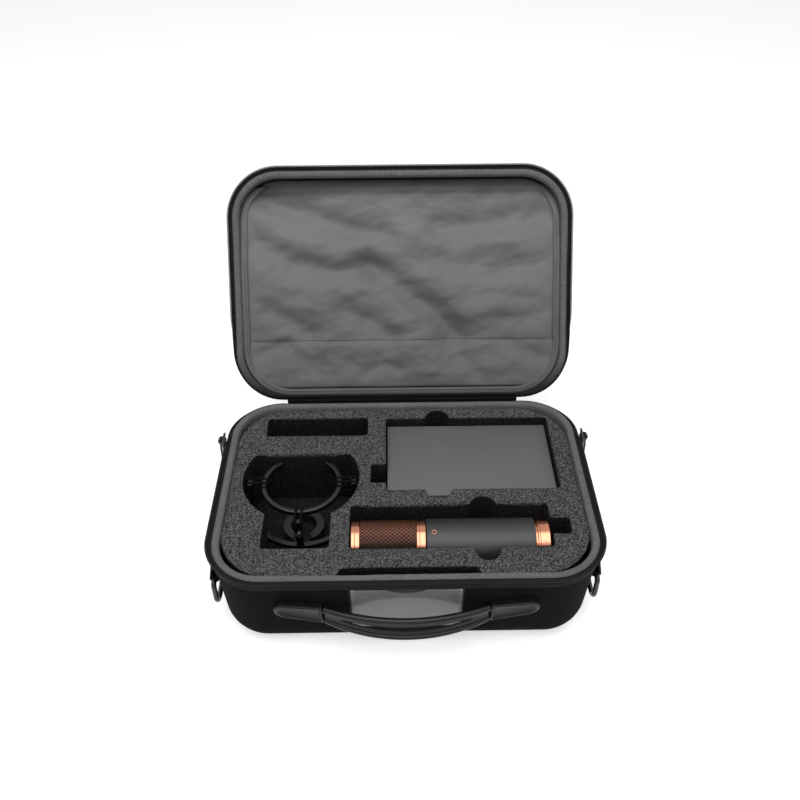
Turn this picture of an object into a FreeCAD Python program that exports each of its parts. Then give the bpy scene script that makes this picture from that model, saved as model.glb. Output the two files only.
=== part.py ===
import FreeCAD, Part
import math
import operator
import os
import types
import Sketcher

# Driving dimensions, in millimetres and degrees, grouped by the piece that they shape.
SIZES = {
    # moulded shells of the base and the lid
    "shell_width": 311.0,
    "shell_depth": 210.0,
    "shell_corner": 43.0,
    "shell_wall": 5.0,
    "shell_draft": 4.0,
    "rim_band": 8.5,
    "base_height": 88.5,
    "base_round": 26.0,
    "lid_height": 38.0,
    "lid_round": 22.0,
    "lid_open_angle": 122.0,
    "lining_cloth": 0.8,
    "lining_gap": 0.1,
    # tape folded over both rims
    "binding_cloth": 1.0,
    "binding_cap": 3.3,
    "binding_leg": 7.0,
    "binding_round": 2.6,
    "closing_gap": 0.4,
    # zip
    "tape_cloth": 0.8,
    "tape_drop": 8.5,
    "tape_rise": 1.6,
    "coil_radius": 1.1,
    "coil_reach": 3.6,
    "coil_gap": 0.4,
    "coil_seat": 0.15,
    "base_zip_margin": 2.5,
    "lid_zip_margin": 16.5,
    "slider_length": 12.0,
    "slider_plate": 1.3,
    "slider_flange": 1.0,
    "slider_lip": 0.6,
    "slider_room": 0.3,
    "slider_margin": 9.5,
    "bail_reach": 2.4,
    "bail_wire": 1.6,
    "bail_span": 8.8,
    "pull_eye": 4.2,
    "pull_bore": 2.6,
    "pull_eye_width": 4.4,
    "pull_width": 8.0,
    "pull_length": 30.0,
    "pull_thick": 1.6,
    # cloth hinge strip
    "hinge_cloth": 1.0,
    "hinge_leaf": 11.0,
    "hinge_margin": 4.0,
    "hinge_slack": 0.4,
    # foam
    "foam_drop": 5.0,
    "foam_gap": 0.4,
    "foam_corner": 46.0,
    "foam_sheet": 34.0,
    "slot_width": 92.0,
    "slot_depth": 23.5,
    "slot_offset": 10.5,
    "front_slot_width": 106.0,
    "front_slot_depth": 8.5,
    "front_slot_flare": 5.0,
    "front_slot_offset": 2.0,
    "finger_radius": 11.0,
    # card holder on the front wall
    "card_width": 86.0,
    "card_height": 51.0,
    "card_margin": 1.6,
    "card_sheet": 0.8,
    "thumb_width": 33.0,
    "thumb_depth": 5.0,
    # handle
    "handle_span": 132.0,
    "handle_drop": 18.7,
    "handle_height": 20.0,
    "handle_gap": 0.3,
    "tab_length": 38.0,
    "tab_thick": 6.0,
    "tab_end_height": 15.0,
    "tab_rise": 7.5,
    "tab_lip": 2.2,
    "tab_recess": 1.2,
    "grip_thick": 6.0,
    "grip_stand": 0.8,
    "grip_bow_top": 12.5,
    "grip_bow_low": 17.0,
    "grip_bead": 3.0,
    "grip_slot_length": 104.0,
    "grip_slot_rise": 3.0,
    "grip_slot_dip": 5.0,
    "grip_slot_drop": 11.0,
    # strap rings on the sides
    "ring_margin": 2.0,
    "ring_drop": 10.0,
    "ring_wire": 4.4,
    "ring_width": 30.0,
    "ring_height": 27.0,
    "ring_corner": 11.0,
    "ring_top_corner": 3.0,
    "ring_bore_room": 0.3,
    "ring_tab_width": 18.0,
    "ring_tab_height": 21.0,
    "ring_tab_thick": 3.0,
    "ring_loop_wall": 1.6,
    "rivet_head": 7.0,
    "rivet_rise": 1.2,
    "rivet_drop": 6.0,
    # cloth pocket in the lid
    "panel_drop": 13.5,
    "panel_cloth": 1.2,
    "panel_gap": 0.6,
    "panel_edge": 7.0,
    "panel_edge_thick": 2.2,
    "panel_top_room": 5.0,
    "panel_fold": 2.6,
    "panel_crease": 1.6,
    # microphone
    "mic_diameter": 44.0,
    "mic_head_length": 7.5,
    "mic_grille_length": 45.6,
    "mic_grille_diameter": 42.4,
    "mic_grille_wall": 1.4,
    "mic_collar_length": 8.2,
    "mic_body_length": 89.2,
    "mic_tail_length": 12.3,
    "mic_tail_diameter": 42.0,
    "mic_neck_length": 1.4,
    "mic_neck_diameter": 39.0,
    "mic_bevel": 1.6,
    "mic_socket_diameter": 19.0,
    "mic_socket_depth": 9.0,
    "mic_pin_diameter": 2.4,
    "mic_pin_circle": 9.0,
    "mic_pin_length": 7.5,
    "mic_insert_thick": 2.0,
    "mic_insert_fit": 0.1,
    "mic_side_room": 3.75,
    "mic_end_room": 0.7,
    "mic_floor_gap": 0.3,
    "mic_finger_offset": 28.5,
    "mic_relief_length": 16.0,
    "mic_relief_width": 16.5,
    "mic_relief_offset": 1.6,
    # shock mount
    "mount_pocket_radius": 50.0,
    "mount_pocket_flat": 28.0,
    "mount_bay_width": 54.5,
    "mount_bay_reach": 79.0,
    "cradle_outer": 70.0,
    "cradle_inner": 61.5,
    "cradle_tall": 5.0,
    "cradle_drop": 7.0,
    "cradle_mouth_angle": 74.0,
    "frame_outer": 94.0,
    "frame_inner": 86.0,
    "frame_tall": 4.5,
    "frame_drop": 36.0,
    "arm_width": 6.0,
    "arm_thick": 4.0,
    "band_wire": 2.2,
    "band_spread": 3.4,
    "band_gap": 0.15,
    "foot_width": 14.0,
    "foot_tall": 5.0,
    "disc_outer": 36.0,
    "disc_inner": 23.0,
    "disc_offset": 14.0,
    "mount_screw_head": 5.0,
    "mount_screw_rise": 1.6,
    # carton
    "carton_width": 147.0,
    "carton_depth": 89.4,
    "carton_height": 46.2,
    "carton_board": 1.2,
    "carton_skirt": 16.0,
    "carton_fit": 0.3,
    "carton_drop": 9.5,
    "carton_room": 0.8,
    "carton_finger_offset": 27.0,
    "carton_front_notch_width": 24.0,
    "carton_front_notch_reach": 9.0,
    "carton_front_notch_offset": 29.7,
    "carton_side_notch_width": 22.0,
    "carton_side_notch_reach": 13.5,
    "carton_side_notch_offset": 26.0,
    # allowance by which a cut runs past the face it opens, and the right angle
    "overrun": 2.0,
    "square_angle": 90.0,
}

SIGNS = {"+": operator.add, "-": operator.sub, "*": operator.mul, "/": operator.truediv}


class Size:
    """A length or an angle: its number, and the sheet expression that gives it."""

    def __init__(self, number, text):
        self.number = number
        self.text = text

    def __add__(self, other):
        return joined(self, "+", other)

    def __radd__(self, other):
        return joined(other, "+", self)

    def __sub__(self, other):
        return joined(self, "-", other)

    def __rsub__(self, other):
        return joined(other, "-", self)

    def __mul__(self, other):
        return joined(self, "*", other)

    def __rmul__(self, other):
        return joined(other, "*", self)

    def __truediv__(self, other):
        return joined(self, "/", other)

    def __neg__(self):
        return joined(-1, "*", self)


def number_of(value):
    return value.number if isinstance(value, Size) else float(value)


def text_of(value):
    return value.text if isinstance(value, Size) else repr(float(value))


def joined(left, sign, right):
    number = SIGNS[sign](number_of(left), number_of(right))
    return Size(number, f"({text_of(left)} {sign} {text_of(right)})")


def sine(angle):
    return Size(math.sin(math.radians(angle.number)), f"sin({angle.text})")


def cosine(angle):
    return Size(math.cos(math.radians(angle.number)), f"cos({angle.text})")


def root(value):
    return Size(math.sqrt(value.number), f"sqrt({value.text})")


def bow_radius(chord, bow):
    """Radius of the arc that rises by bow over a straight chord."""
    return (chord * chord / 4 + bow * bow) / (2 * bow)


doc = FreeCAD.newDocument("MicrophoneCase")
sheet = doc.addObject("Spreadsheet::Sheet", "Sizes")
for row, (alias, value) in enumerate(SIZES.items(), start=1):
    sheet.set(f"A{row}", alias)
    sheet.set(f"B{row}", str(value))
    sheet.setAlias(f"B{row}", alias)
doc.recompute()
dim = types.SimpleNamespace(**{name: Size(value, f"Sizes.{name}") for name, value in SIZES.items()})
pieces = []


def bind(target, prop, size):
    target.setExpression(prop, text_of(size))


def new_piece(label):
    body = doc.addObject("PartDesign::Body", label)
    body.Label = label
    pieces.append(body)
    return body


def place(body, x=0, y=0, z=0, axis=None, angle=None):
    """Put a piece where it belongs, turned about one axis through its own origin."""
    if axis:
        body.Placement.Rotation = FreeCAD.Rotation(FreeCAD.Vector(*axis), number_of(angle))
        bind(body, "Placement.Rotation.Angle", angle)
    for side, size in (("x", x), ("y", y), ("z", z)):
        bind(body, f"Placement.Base.{side}", size)


class Drawing:
    """A sketch in which every corner and radius is held by a size."""

    def __init__(self, body, name, plane="XY_Plane", level=0):
        self.sketch = body.newObject("Sketcher::SketchObject", name)
        support = next(item for item in body.Origin.OriginFeatures if item.Role == plane)
        self.sketch.AttachmentSupport = [(support, "")]
        self.sketch.MapMode = "FlatFace"
        bind(self.sketch, "AttachmentOffset.Base.z", level)
        self.rules = []

    def hold(self, kind, where, size):
        self.rules.append((Sketcher.Constraint(kind, *where, number_of(size)), size))

    def edge(self, start, end, bend):
        """Add a line, or an arc with a radius that turns left (1) or right (-1)."""
        low = FreeCAD.Vector(*start, 0)
        high = FreeCAD.Vector(*end, 0)
        if not bend:
            index = self.sketch.addGeometry(Part.LineSegment(low, high), False)
            return index, 1, 2
        radius, turn = number_of(bend[0]), bend[1]
        chord = high - low
        rise = math.sqrt(max(radius ** 2 - (chord.Length / 2) ** 2, 0))
        left = FreeCAD.Vector(-chord.y, chord.x, 0).normalize()
        centre = (low + high) / 2 + left * rise * turn
        ends = (low, high) if turn > 0 else (high, low)
        angles = [math.atan2(end.y - centre.y, end.x - centre.x) for end in ends]
        circle = Part.Circle(centre, FreeCAD.Vector(0, 0, 1), radius)
        index = self.sketch.addGeometry(Part.ArcOfCircle(circle, *angles), False)
        self.hold("Radius", (index,), bend[0])
        return (index, 1, 2) if turn > 0 else (index, 2, 1)

    def path(self, points, closed=True):
        """Draw through points (x, y), with (x, y, radius, turn) where an arc arrives."""
        corners = [(number_of(point[0]), number_of(point[1])) for point in points]
        count = len(points) if closed else len(points) - 1
        edges = []
        for k in range(count):
            after = (k + 1) % len(points)
            edges.append(self.edge(corners[k], corners[after], points[after][2:]))
        for k in range(count if closed else count - 1):
            here, after = edges[k], edges[(k + 1) % count]
            self.rules.append((Sketcher.Constraint("Coincident", here[0], here[2], after[0], after[1]), None))
        for k, point in enumerate(points):
            index, pole = edges[k][:2] if k < count else (edges[-1][0], edges[-1][2])
            self.hold("DistanceX", (-1, 1, index, pole), point[0])
            self.hold("DistanceY", (-1, 1, index, pole), point[1])
        return self

    def circle(self, x, y, radius):
        centre = FreeCAD.Vector(number_of(x), number_of(y), 0)
        circle = Part.Circle(centre, FreeCAD.Vector(0, 0, 1), number_of(radius))
        index = self.sketch.addGeometry(circle, False)
        self.hold("DistanceX", (-1, 1, index, 3), x)
        self.hold("DistanceY", (-1, 1, index, 3), y)
        self.hold("Radius", (index,), radius)
        return self

    def done(self):
        first = self.sketch.ConstraintCount
        self.sketch.addConstraint([rule for rule, size in self.rules])
        for k, (rule, size) in enumerate(self.rules):
            if size is not None:
                bind(self.sketch, f"Constraints[{first + k}]", size)
        return self.sketch


def extrude(body, kind, name, sketch, length, taper=None, back=False):
    feature = body.newObject(f"PartDesign::{kind}", name)
    feature.Profile = sketch
    bind(feature, "Length", length)
    feature.Reversed = back
    if taper is not None:
        bind(feature, "TaperAngle", taper)
    return feature


def pad(body, name, sketch, length, taper=None, back=False):
    return extrude(body, "Pad", name, sketch, length, taper, back)


def pocket(body, name, sketch, length, taper=None, back=False):
    return extrude(body, "Pocket", name, sketch, length, taper, back)


def revolve(body, name, sketch, axis="H_Axis"):
    feature = body.newObject("PartDesign::Revolution", name)
    feature.Profile = sketch
    feature.ReferenceAxis = (sketch, [axis])
    return feature


def sweep(body, name, profile, spine):
    doc.recompute()
    feature = body.newObject("PartDesign::AdditivePipe", name)
    feature.Profile = profile
    feature.Spine = (spine, [f"Edge{k + 1}" for k in range(len(spine.Shape.Edges))])
    return feature


def loft(body, name, sections, ruled=False):
    feature = body.newObject("PartDesign::AdditiveLoft", name)
    feature.Profile = sections[0]
    feature.Sections = sections[1:]
    feature.Ruled = ruled
    return feature


def round_edges(body, name, chosen, radius):
    """Round the edges of the piece so far that the test chosen accepts."""
    doc.recompute()
    base = body.Tip
    names = [f"Edge{k + 1}" for k, edge in enumerate(base.Shape.Edges) if chosen(edge.BoundBox)]
    feature = body.newObject("PartDesign::Fillet", name)
    feature.Base = (base, names)
    bind(feature, "Radius", radius)
    return feature


def at_level(level):
    """Test for edges that lie in the plane z = level."""
    near = number_of(dim.lining_gap) / 2
    return lambda box: abs(box.ZMin - number_of(level)) < near and abs(box.ZMax - number_of(level)) < near


def rounded(width, depth, corner, x=0, y=0):
    """Corners of a rectangle with round corners, centred on (x, y)."""
    west, east = x - width / 2, x + width / 2
    south, north = y - depth / 2, y + depth / 2
    return [
        (west + corner, south, corner, 1),
        (east - corner, south),
        (east, south + corner, corner, 1),
        (east, north - corner),
        (east - corner, north, corner, 1),
        (west + corner, north),
        (west, north - corner, corner, 1),
        (west, south + corner),
    ]


def box_outline(west, east, south, north):
    return [(west, south), (east, south), (east, north), (west, north)]


def rim_outline(inset):
    """Plan of the shells at the rim, drawn in by inset."""
    return rounded(dim.shell_width - 2 * inset, dim.shell_depth - 2 * inset, dim.shell_corner - inset)


# Levels and lines that several pieces share.
closing_plane = dim.base_height + dim.binding_cap + dim.closing_gap / 2
lid_plane = dim.lid_height + dim.binding_cap + dim.closing_gap / 2
hinge_line = dim.shell_depth / 2 + dim.binding_cloth + dim.hinge_cloth
foam_top = closing_plane - dim.foam_drop
wall_top = dim.base_height - dim.rim_band
lid_turn = 180 - dim.lid_open_angle
straight_end = dim.shell_depth / 2 - dim.shell_corner

# Layout of the kit: shares of the room that it leaves go between it and the foam's edges.
foam_inset = dim.shell_wall + dim.binding_cloth + dim.foam_gap
foam_width, foam_depth = dim.shell_width - 2 * foam_inset, dim.shell_depth - 2 * foam_inset
mic_length = (dim.mic_head_length + dim.mic_grille_length + dim.mic_collar_length
              + dim.mic_body_length + dim.mic_tail_length)
row_room = foam_width - dim.frame_outer - dim.carton_width
left_room_share, right_room_share = 0.229, 0.29
mount_x = dim.frame_outer / 2 - foam_width / 2 + left_room_share * row_room
carton_x = foam_width / 2 - dim.carton_width / 2 - right_room_share * row_room
column_room = foam_depth - dim.mic_diameter - dim.carton_depth
front_room_share, back_room_share = 0.412, 0.226
mic_y = dim.mic_diameter / 2 - foam_depth / 2 + front_room_share * column_room
carton_y = foam_depth / 2 - dim.carton_depth / 2 - back_room_share * column_room
tail_room_share = 0.641
bay_right = mount_x + dim.mount_bay_width / 2
mic_x = foam_width / 2 - mic_length / 2 - tail_room_share * (foam_width / 2 - bay_right - mic_length)
side_room = foam_depth - dim.mount_bay_reach - dim.mount_pocket_flat - dim.slot_depth
bay_room_share, slot_room_share = 0.444, 0.178
mount_y = dim.mount_bay_reach - foam_depth / 2 + bay_room_share * side_room
slot_y = foam_depth / 2 - dim.slot_depth / 2 - slot_room_share * side_room


def place_on_lid(body):
    """Swing a lid piece, drawn rim up with its hinge at the front, about the hinge line."""
    lift = hinge_line * sine(lid_turn) - lid_plane * cosine(lid_turn)
    reach = hinge_line * cosine(lid_turn) + lid_plane * sine(lid_turn)
    place(body, y=hinge_line + reach, z=closing_plane + lift, axis=(1, 0, 0), angle=lid_turn)


def place_on_front(body):
    """Lean a piece, drawn on the plane y = 0, against the drafted front wall."""
    place(body, y=-dim.shell_depth / 2, z=wall_top, axis=(1, 0, 0), angle=dim.shell_draft)


def place_on_side(body, side):
    """Lean a piece, drawn on the plane x = 0, against the drafted left or right wall."""
    place(body, x=side * dim.shell_width / 2, z=wall_top, axis=(0, side, 0), angle=dim.shell_draft)


# Shells and linings: drafted tubs with a straight band at the rim.
def tub_solid(name, edge, band, inset, bend):
    """The full solid of a tub: draft below the level edge, a straight band above it."""
    body = doc.addObject("PartDesign::Body", name)
    plan = Drawing(body, "plan", level=edge).path(rim_outline(inset)).done()
    pad(body, "drafted_wall", plan, edge - inset, taper=-dim.shell_draft, back=True)
    if band:
        pad(body, "rim_band", plan, band)
    round_edges(body, "floor_edge", at_level(inset), bend - inset)
    return body


def tub(label, edge, band, inset, wall, bend):
    hollow = doc.addObject("Part::Cut", label)
    hollow.Label = label
    hollow.Base = tub_solid(f"{label}_outside", edge, band, inset, bend)
    core_band = band + dim.overrun if band else dim.overrun
    hollow.Tool = tub_solid(f"{label}_inside", edge, core_band, inset + wall, bend)
    pieces.append(hollow)
    return hollow


no_inset = 0 * dim.shell_wall
lining_inset = dim.shell_wall + dim.lining_gap
lid_wall_top = dim.lid_height - dim.rim_band
tub("base_shell", wall_top, dim.rim_band, no_inset, dim.shell_wall, dim.base_round)
tub("base_lining", wall_top, None, lining_inset, dim.lining_cloth, dim.base_round)
place_on_lid(tub("lid_shell", lid_wall_top, dim.rim_band, no_inset, dim.shell_wall, dim.lid_round))
place_on_lid(tub("lid_lining", lid_wall_top, None, lining_inset, dim.lining_cloth, dim.lid_round))


# Tape folded over a rim: a rounded ring with a groove that takes the wall's edge.
def rim_binding(label, height):
    body = new_piece(label)
    foot = height - dim.binding_leg
    ring = Drawing(body, "ring_plan", level=foot)
    ring.path(rim_outline(-dim.binding_cloth)).path(rim_outline(dim.shell_wall + dim.binding_cloth))
    pad(body, "ring", ring.done(), dim.binding_leg + dim.binding_cap)
    round_edges(body, "soft_top", at_level(height + dim.binding_cap), dim.binding_round)
    groove = Drawing(body, "groove_plan", level=foot)
    groove.path(rim_outline(no_inset)).path(rim_outline(dim.shell_wall))
    pocket(body, "groove", groove.done(), dim.binding_leg, back=True)
    return body


rim_binding("base_binding", dim.base_height)
place_on_lid(rim_binding("lid_binding", dim.lid_height))


# Zip halves: a tape sewn outside the binding, and the coil along its free edge.
def zip_spine(body, height, zip_end, hinge_side):
    """Rim line that the zip follows, from the hinge end of one side to that of the other."""
    half, deep, corner = dim.shell_width / 2, hinge_side * dim.shell_depth / 2, dim.shell_corner
    bend = hinge_side * corner
    points = [
        (-half, hinge_side * zip_end),
        (-half, bend - deep),
        (corner - half, -deep, corner, hinge_side),
        (half - corner, -deep),
        (half, bend - deep, corner, hinge_side),
        (half, hinge_side * zip_end),
    ]
    return Drawing(body, "rim_line", level=height).path(points, closed=False).done()


def corner_tape(body, side, foot, rise, tape_end, hinge_side):
    """Carry the tape on, flat, from the end of a side round the back corner to the hinge strip."""
    half, deep, corner = dim.shell_width / 2, dim.shell_depth / 2, dim.shell_corner
    near, far = dim.binding_cloth, dim.binding_cloth + dim.tape_cloth
    lead = half - corner - dim.hinge_margin + dim.hinge_slack
    turn = side * hinge_side
    line = [
        (side * (half + near), hinge_side * tape_end), (side * (half + near), hinge_side * straight_end),
        (side * (half - corner), hinge_side * (deep + near), corner + near, turn),
        (side * lead, hinge_side * (deep + near)), (side * lead, hinge_side * (deep + far)),
        (side * (half - corner), hinge_side * (deep + far)),
        (side * (half + far), hinge_side * straight_end, corner + far, -turn),
        (side * (half + far), hinge_side * tape_end),
    ]
    plan = Drawing(body, "corner_plan", level=foot).path(line).done()
    pad(body, "corner_tape", plan, rise)


def zip_half(name, height, plane_level, tape_end, coil_end, hinge_side):
    coil_level = plane_level - dim.coil_radius - dim.coil_gap / 2
    tip = coil_level - dim.coil_radius - dim.coil_seat
    bend = tip - dim.tape_rise
    near, far = dim.binding_cloth, dim.binding_cloth + dim.tape_cloth
    edge = -dim.shell_width / 2
    tape = new_piece(f"{name}_zip_tape")
    outline = [
        (edge - near, height - dim.tape_drop),
        (edge - near, bend),
        (edge - dim.coil_reach + dim.tape_cloth / 2, tip),
        (edge - dim.coil_reach - dim.tape_cloth / 2, tip),
        (edge - far, bend),
        (edge - far, height - dim.tape_drop),
    ]
    section = Drawing(tape, "tape_section", "XZ_Plane", -hinge_side * tape_end).path(outline).done()
    sweep(tape, "tape", section, zip_spine(tape, height, tape_end, hinge_side))
    foot = height - dim.tape_drop
    for side in (-1, 1):
        corner_tape(tape, side, foot, bend - foot, tape_end, hinge_side)
    coil = new_piece(f"{name}_zip_teeth")
    section = Drawing(coil, "coil_section", "XZ_Plane", -hinge_side * coil_end)
    section.circle(edge - dim.coil_reach, coil_level, dim.coil_radius)
    sweep(coil, "coil", section.done(), zip_spine(coil, height, coil_end, hinge_side))
    return tape, coil


base_zip_end = straight_end - dim.base_zip_margin
zip_half("base", dim.base_height, closing_plane, base_zip_end, base_zip_end, 1)
for half in zip_half("lid", dim.lid_height, lid_plane, base_zip_end, straight_end - dim.lid_zip_margin, -1):
    place_on_lid(half)


# Zip sliders ride outside both coils, and a pull hangs on the bail of each.
slider_face = dim.coil_reach + dim.coil_radius + dim.slider_room
slider_half = 2 * dim.coil_radius + dim.coil_gap / 2 + dim.slider_room + dim.slider_flange
bail_axis = slider_face + dim.slider_plate + dim.bail_reach
slider_y = straight_end - dim.slider_margin


def zip_slider(side, name):
    body = new_piece(f"zip_slider_{name}")
    inner = side * (slider_face - dim.slider_lip)
    face = side * slider_face
    outer = side * (slider_face + dim.slider_plate)
    lip = slider_half - dim.slider_flange
    channel = [
        (inner, -slider_half), (outer, -slider_half), (outer, slider_half), (inner, slider_half),
        (inner, lip), (face, lip), (face, -lip), (inner, -lip),
    ]
    section = Drawing(body, "channel_section", "XZ_Plane", -dim.slider_length / 2).path(channel)
    pad(body, "channel", section.done(), dim.slider_length)
    half_span, half_wire = dim.bail_span / 2, dim.bail_wire / 2
    crown = side * (bail_axis - slider_face - dim.slider_plate + half_wire)
    leg = crown - side * dim.bail_wire
    bail = [
        (0 * crown, -half_span), (crown, -half_span), (crown, half_span), (0 * crown, half_span),
        (0 * crown, half_span - dim.bail_wire), (leg, half_span - dim.bail_wire),
        (leg, dim.bail_wire - half_span), (0 * crown, dim.bail_wire - half_span),
    ]
    loop = [(outer + x, y) for x, y in bail]
    pad(body, "bail", Drawing(body, "bail_plan", level=-half_wire).path(loop).done(), dim.bail_wire)
    place(body, x=side * dim.shell_width / 2, y=slider_y, z=closing_plane)
    return body


def zip_pull(side, name):
    body = new_piece(f"zip_pull_{name}")
    eye, half = dim.pull_eye / 2, dim.pull_thick / 2
    hub = Drawing(body, "eye_section", "XZ_Plane", -dim.pull_eye_width / 2)
    hub.circle(0, 0, eye)
    pad(body, "eye", hub.done(), dim.pull_eye_width)
    waist, wide = dim.pull_eye_width / 2, dim.pull_width / 2
    shoulder = -dim.pull_eye - wide
    foot = -dim.pull_length
    blade = [
        (-waist, 0 * eye), (-waist, -dim.pull_eye), (-wide, shoulder), (-wide, foot + wide),
        (0 * eye, foot, wide, 1), (wide, foot + wide, wide, 1), (wide, shoulder),
        (waist, -dim.pull_eye), (waist, 0 * eye),
    ]
    pad(body, "blade", Drawing(body, "blade_plan", "YZ_Plane", -half).path(blade).done(), dim.pull_thick)
    bore = Drawing(body, "bore_section", "XZ_Plane", -dim.pull_width)
    bore.circle(0, 0, dim.pull_bore / 2)
    pocket(body, "bore", bore.done(), 2 * dim.pull_width, back=True)
    reach = side * (dim.shell_width / 2 + bail_axis)
    place(body, x=reach, y=slider_y, z=closing_plane)
    return body


for side, name in ((-1, "left"), (1, "right")):
    zip_slider(side, name)
    zip_pull(side, name)


# Cloth hinge: a strip sewn outside both bindings along the straight of the back edge.
def hinge_leaf(label, plane_level, hinge_side):
    body = new_piece(label)
    half = dim.shell_width / 2 - dim.shell_corner - dim.hinge_margin
    inner = hinge_side * (hinge_line - dim.hinge_cloth)
    outer = hinge_side * hinge_line
    leaf = [
        (inner, plane_level - dim.hinge_leaf), (outer, plane_level - dim.hinge_leaf),
        (outer, plane_level - dim.hinge_slack), (inner, plane_level - dim.hinge_slack),
    ]
    pad(body, "leaf", Drawing(body, "leaf_section", "YZ_Plane", -half).path(leaf).done(), 2 * half)
    return body


hinge_leaf("hinge_cloth_base", closing_plane, 1)
place_on_lid(hinge_leaf("hinge_cloth_lid", lid_plane, -1))


# Foam: a floor pad that follows the round floor, a bed for the deep nests, and the die-cut sheet on top.
floor_pad = new_piece("foam_floor")
pad_inset = dim.shell_wall + dim.lining_cloth + dim.lining_gap + dim.foam_gap
pad_plan = Drawing(floor_pad, "pad_plan", level=wall_top).path(rim_outline(pad_inset)).done()
pad(floor_pad, "drafted_pad", pad_plan, wall_top - pad_inset, taper=-dim.shell_draft, back=True)
round_edges(floor_pad, "floor_edge", at_level(pad_inset), dim.base_round - pad_inset)
trim = Drawing(floor_pad, "trim_plan", level=wall_top).path(rim_outline(no_inset)).done()
floor_top = foam_top - dim.carton_drop - dim.carton_height - dim.mic_floor_gap
pocket(floor_pad, "trim", trim, wall_top - floor_top)

sheet_low = foam_top - dim.foam_sheet
sheet_draw = dim.foam_sheet * sine(dim.shell_draft) / cosine(dim.shell_draft)


def foam_layer(name, level, thick, inset):
    """A slab of foam below a level, with the draft of the tub's walls."""
    body = doc.addObject("PartDesign::Body", name)
    outline = rounded(foam_width - 2 * inset, foam_depth - 2 * inset, dim.foam_corner - inset)
    slab = Drawing(body, "slab_plan", level=level).path(outline).done()
    pad(body, "slab", slab, thick, taper=-dim.shell_draft, back=True)
    return body


bed_thick = sheet_low - floor_top
insert = foam_layer("die_cut_sheet", foam_top, dim.foam_sheet, no_inset)
bed = foam_layer("nest_bed", sheet_low, bed_thick, sheet_draw)


def cut_out(name, points=None, circle=None):
    """A die cut through the upper sheet."""
    drawing = Drawing(insert, f"{name}_plan", level=foam_top)
    if points:
        drawing.path(points)
    if circle:
        drawing.circle(*circle)
    pocket(insert, name, drawing.done(), dim.foam_sheet + dim.overrun)


def nest(name, depth, points):
    """A cut through the upper sheet that goes on into the bed."""
    cut_out(name, points)
    drawing = Drawing(bed, f"{name}_plan", level=sheet_low).path(points)
    pocket(bed, name, drawing.done(), depth)


def centred(x, y, width, depth):
    return box_outline(x - width / 2, x + width / 2, y - depth / 2, y + depth / 2)


# spare slot at the back left, and the slot along the front edge that flares to the wall
cut_out("spare_slot", centred(mount_x + dim.slot_offset, slot_y, dim.slot_width, dim.slot_depth))
foam_front = -foam_depth / 2
slot_half = dim.front_slot_width / 2
cut_out("front_slot", [
    (dim.front_slot_offset - slot_half, foam_front + dim.front_slot_depth),
    (dim.front_slot_offset - slot_half - dim.front_slot_flare, foam_front - dim.overrun),
    (dim.front_slot_offset + slot_half + dim.front_slot_flare, foam_front - dim.overrun),
    (dim.front_slot_offset + slot_half, foam_front + dim.front_slot_depth),
])

# microphone nest with two finger scoops and a relief at the tail
mic_nest_length = mic_length + 2 * dim.mic_end_room
mic_nest_depth = dim.mic_diameter + 2 * dim.mic_side_room
mic_back, mic_front = mic_y + mic_nest_depth / 2, mic_y - mic_nest_depth / 2
mic_right, mic_scoop = mic_x + mic_nest_length / 2, mic_x + dim.mic_finger_offset
relief_y, relief_half = mic_y + dim.mic_relief_offset, dim.mic_relief_width / 2
nest("mic_nest", dim.mic_diameter + dim.mic_floor_gap - dim.foam_sheet,
     centred(mic_x, mic_y, mic_nest_length, mic_nest_depth))
cut_out("mic_back_scoop", circle=(mic_scoop, mic_back - dim.overrun, dim.finger_radius))
cut_out("mic_front_scoop", circle=(mic_scoop, mic_front + dim.overrun, dim.finger_radius))
cut_out("mic_relief", box_outline(mic_right - dim.overrun, mic_right + dim.mic_relief_length,
                                  relief_y - relief_half, relief_y + relief_half))

# carton nest with a round scoop behind, a slanted notch in front and a square one at the left
carton_left = carton_x - dim.carton_width / 2 - dim.carton_room
carton_back = carton_y + dim.carton_depth / 2 + dim.carton_room
carton_front = carton_y - dim.carton_depth / 2 - dim.carton_room
nest("carton_nest", bed_thick + dim.overrun,
     centred(carton_x, carton_y, dim.carton_width + 2 * dim.carton_room, dim.carton_depth + 2 * dim.carton_room))
cut_out("carton_back_scoop",
        circle=(carton_x - dim.carton_finger_offset, carton_back, dim.finger_radius))
notch_x, notch_half = carton_x - dim.carton_front_notch_offset, dim.carton_front_notch_width / 2
notch_slope_share = 0.3
notch_end = notch_half * (1 - notch_slope_share)
notch_front = carton_front - dim.carton_front_notch_reach
cut_out("carton_front_notch", [
    (notch_x - notch_half, carton_front + dim.overrun), (notch_x - notch_end, notch_front),
    (notch_x + notch_end, notch_front), (notch_x + notch_half, carton_front + dim.overrun),
])
notch_y, notch_half = carton_y - dim.carton_side_notch_offset, dim.carton_side_notch_width / 2
cut_out("carton_side_notch", box_outline(carton_left - dim.carton_side_notch_reach, carton_left + dim.overrun,
                                         notch_y - notch_half, notch_y + notch_half))

# shock mount nest: a round well with a flat back, and a square bay in front
well, flat = dim.mount_pocket_radius, dim.mount_pocket_flat
flat_half = root(well * well - flat * flat)
nest("mount_well", bed_thick + dim.overrun, [
    (mount_x + flat_half, mount_y + flat, well, 1), (mount_x - flat_half, mount_y + flat),
    (mount_x - well, mount_y, well, 1), (mount_x, mount_y - well, well, 1), (mount_x + well, mount_y, well, 1),
])
bay_half = dim.mount_bay_width / 2
nest("mount_bay", bed_thick + dim.overrun,
     box_outline(mount_x - bay_half, mount_x + bay_half, mount_y - dim.mount_bay_reach, mount_y))


def group(label, solids):
    """Several like solids under one name."""
    bundle = doc.addObject("Part::Compound", label)
    bundle.Label = label
    bundle.Links = solids
    pieces.append(bundle)
    return bundle


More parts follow.
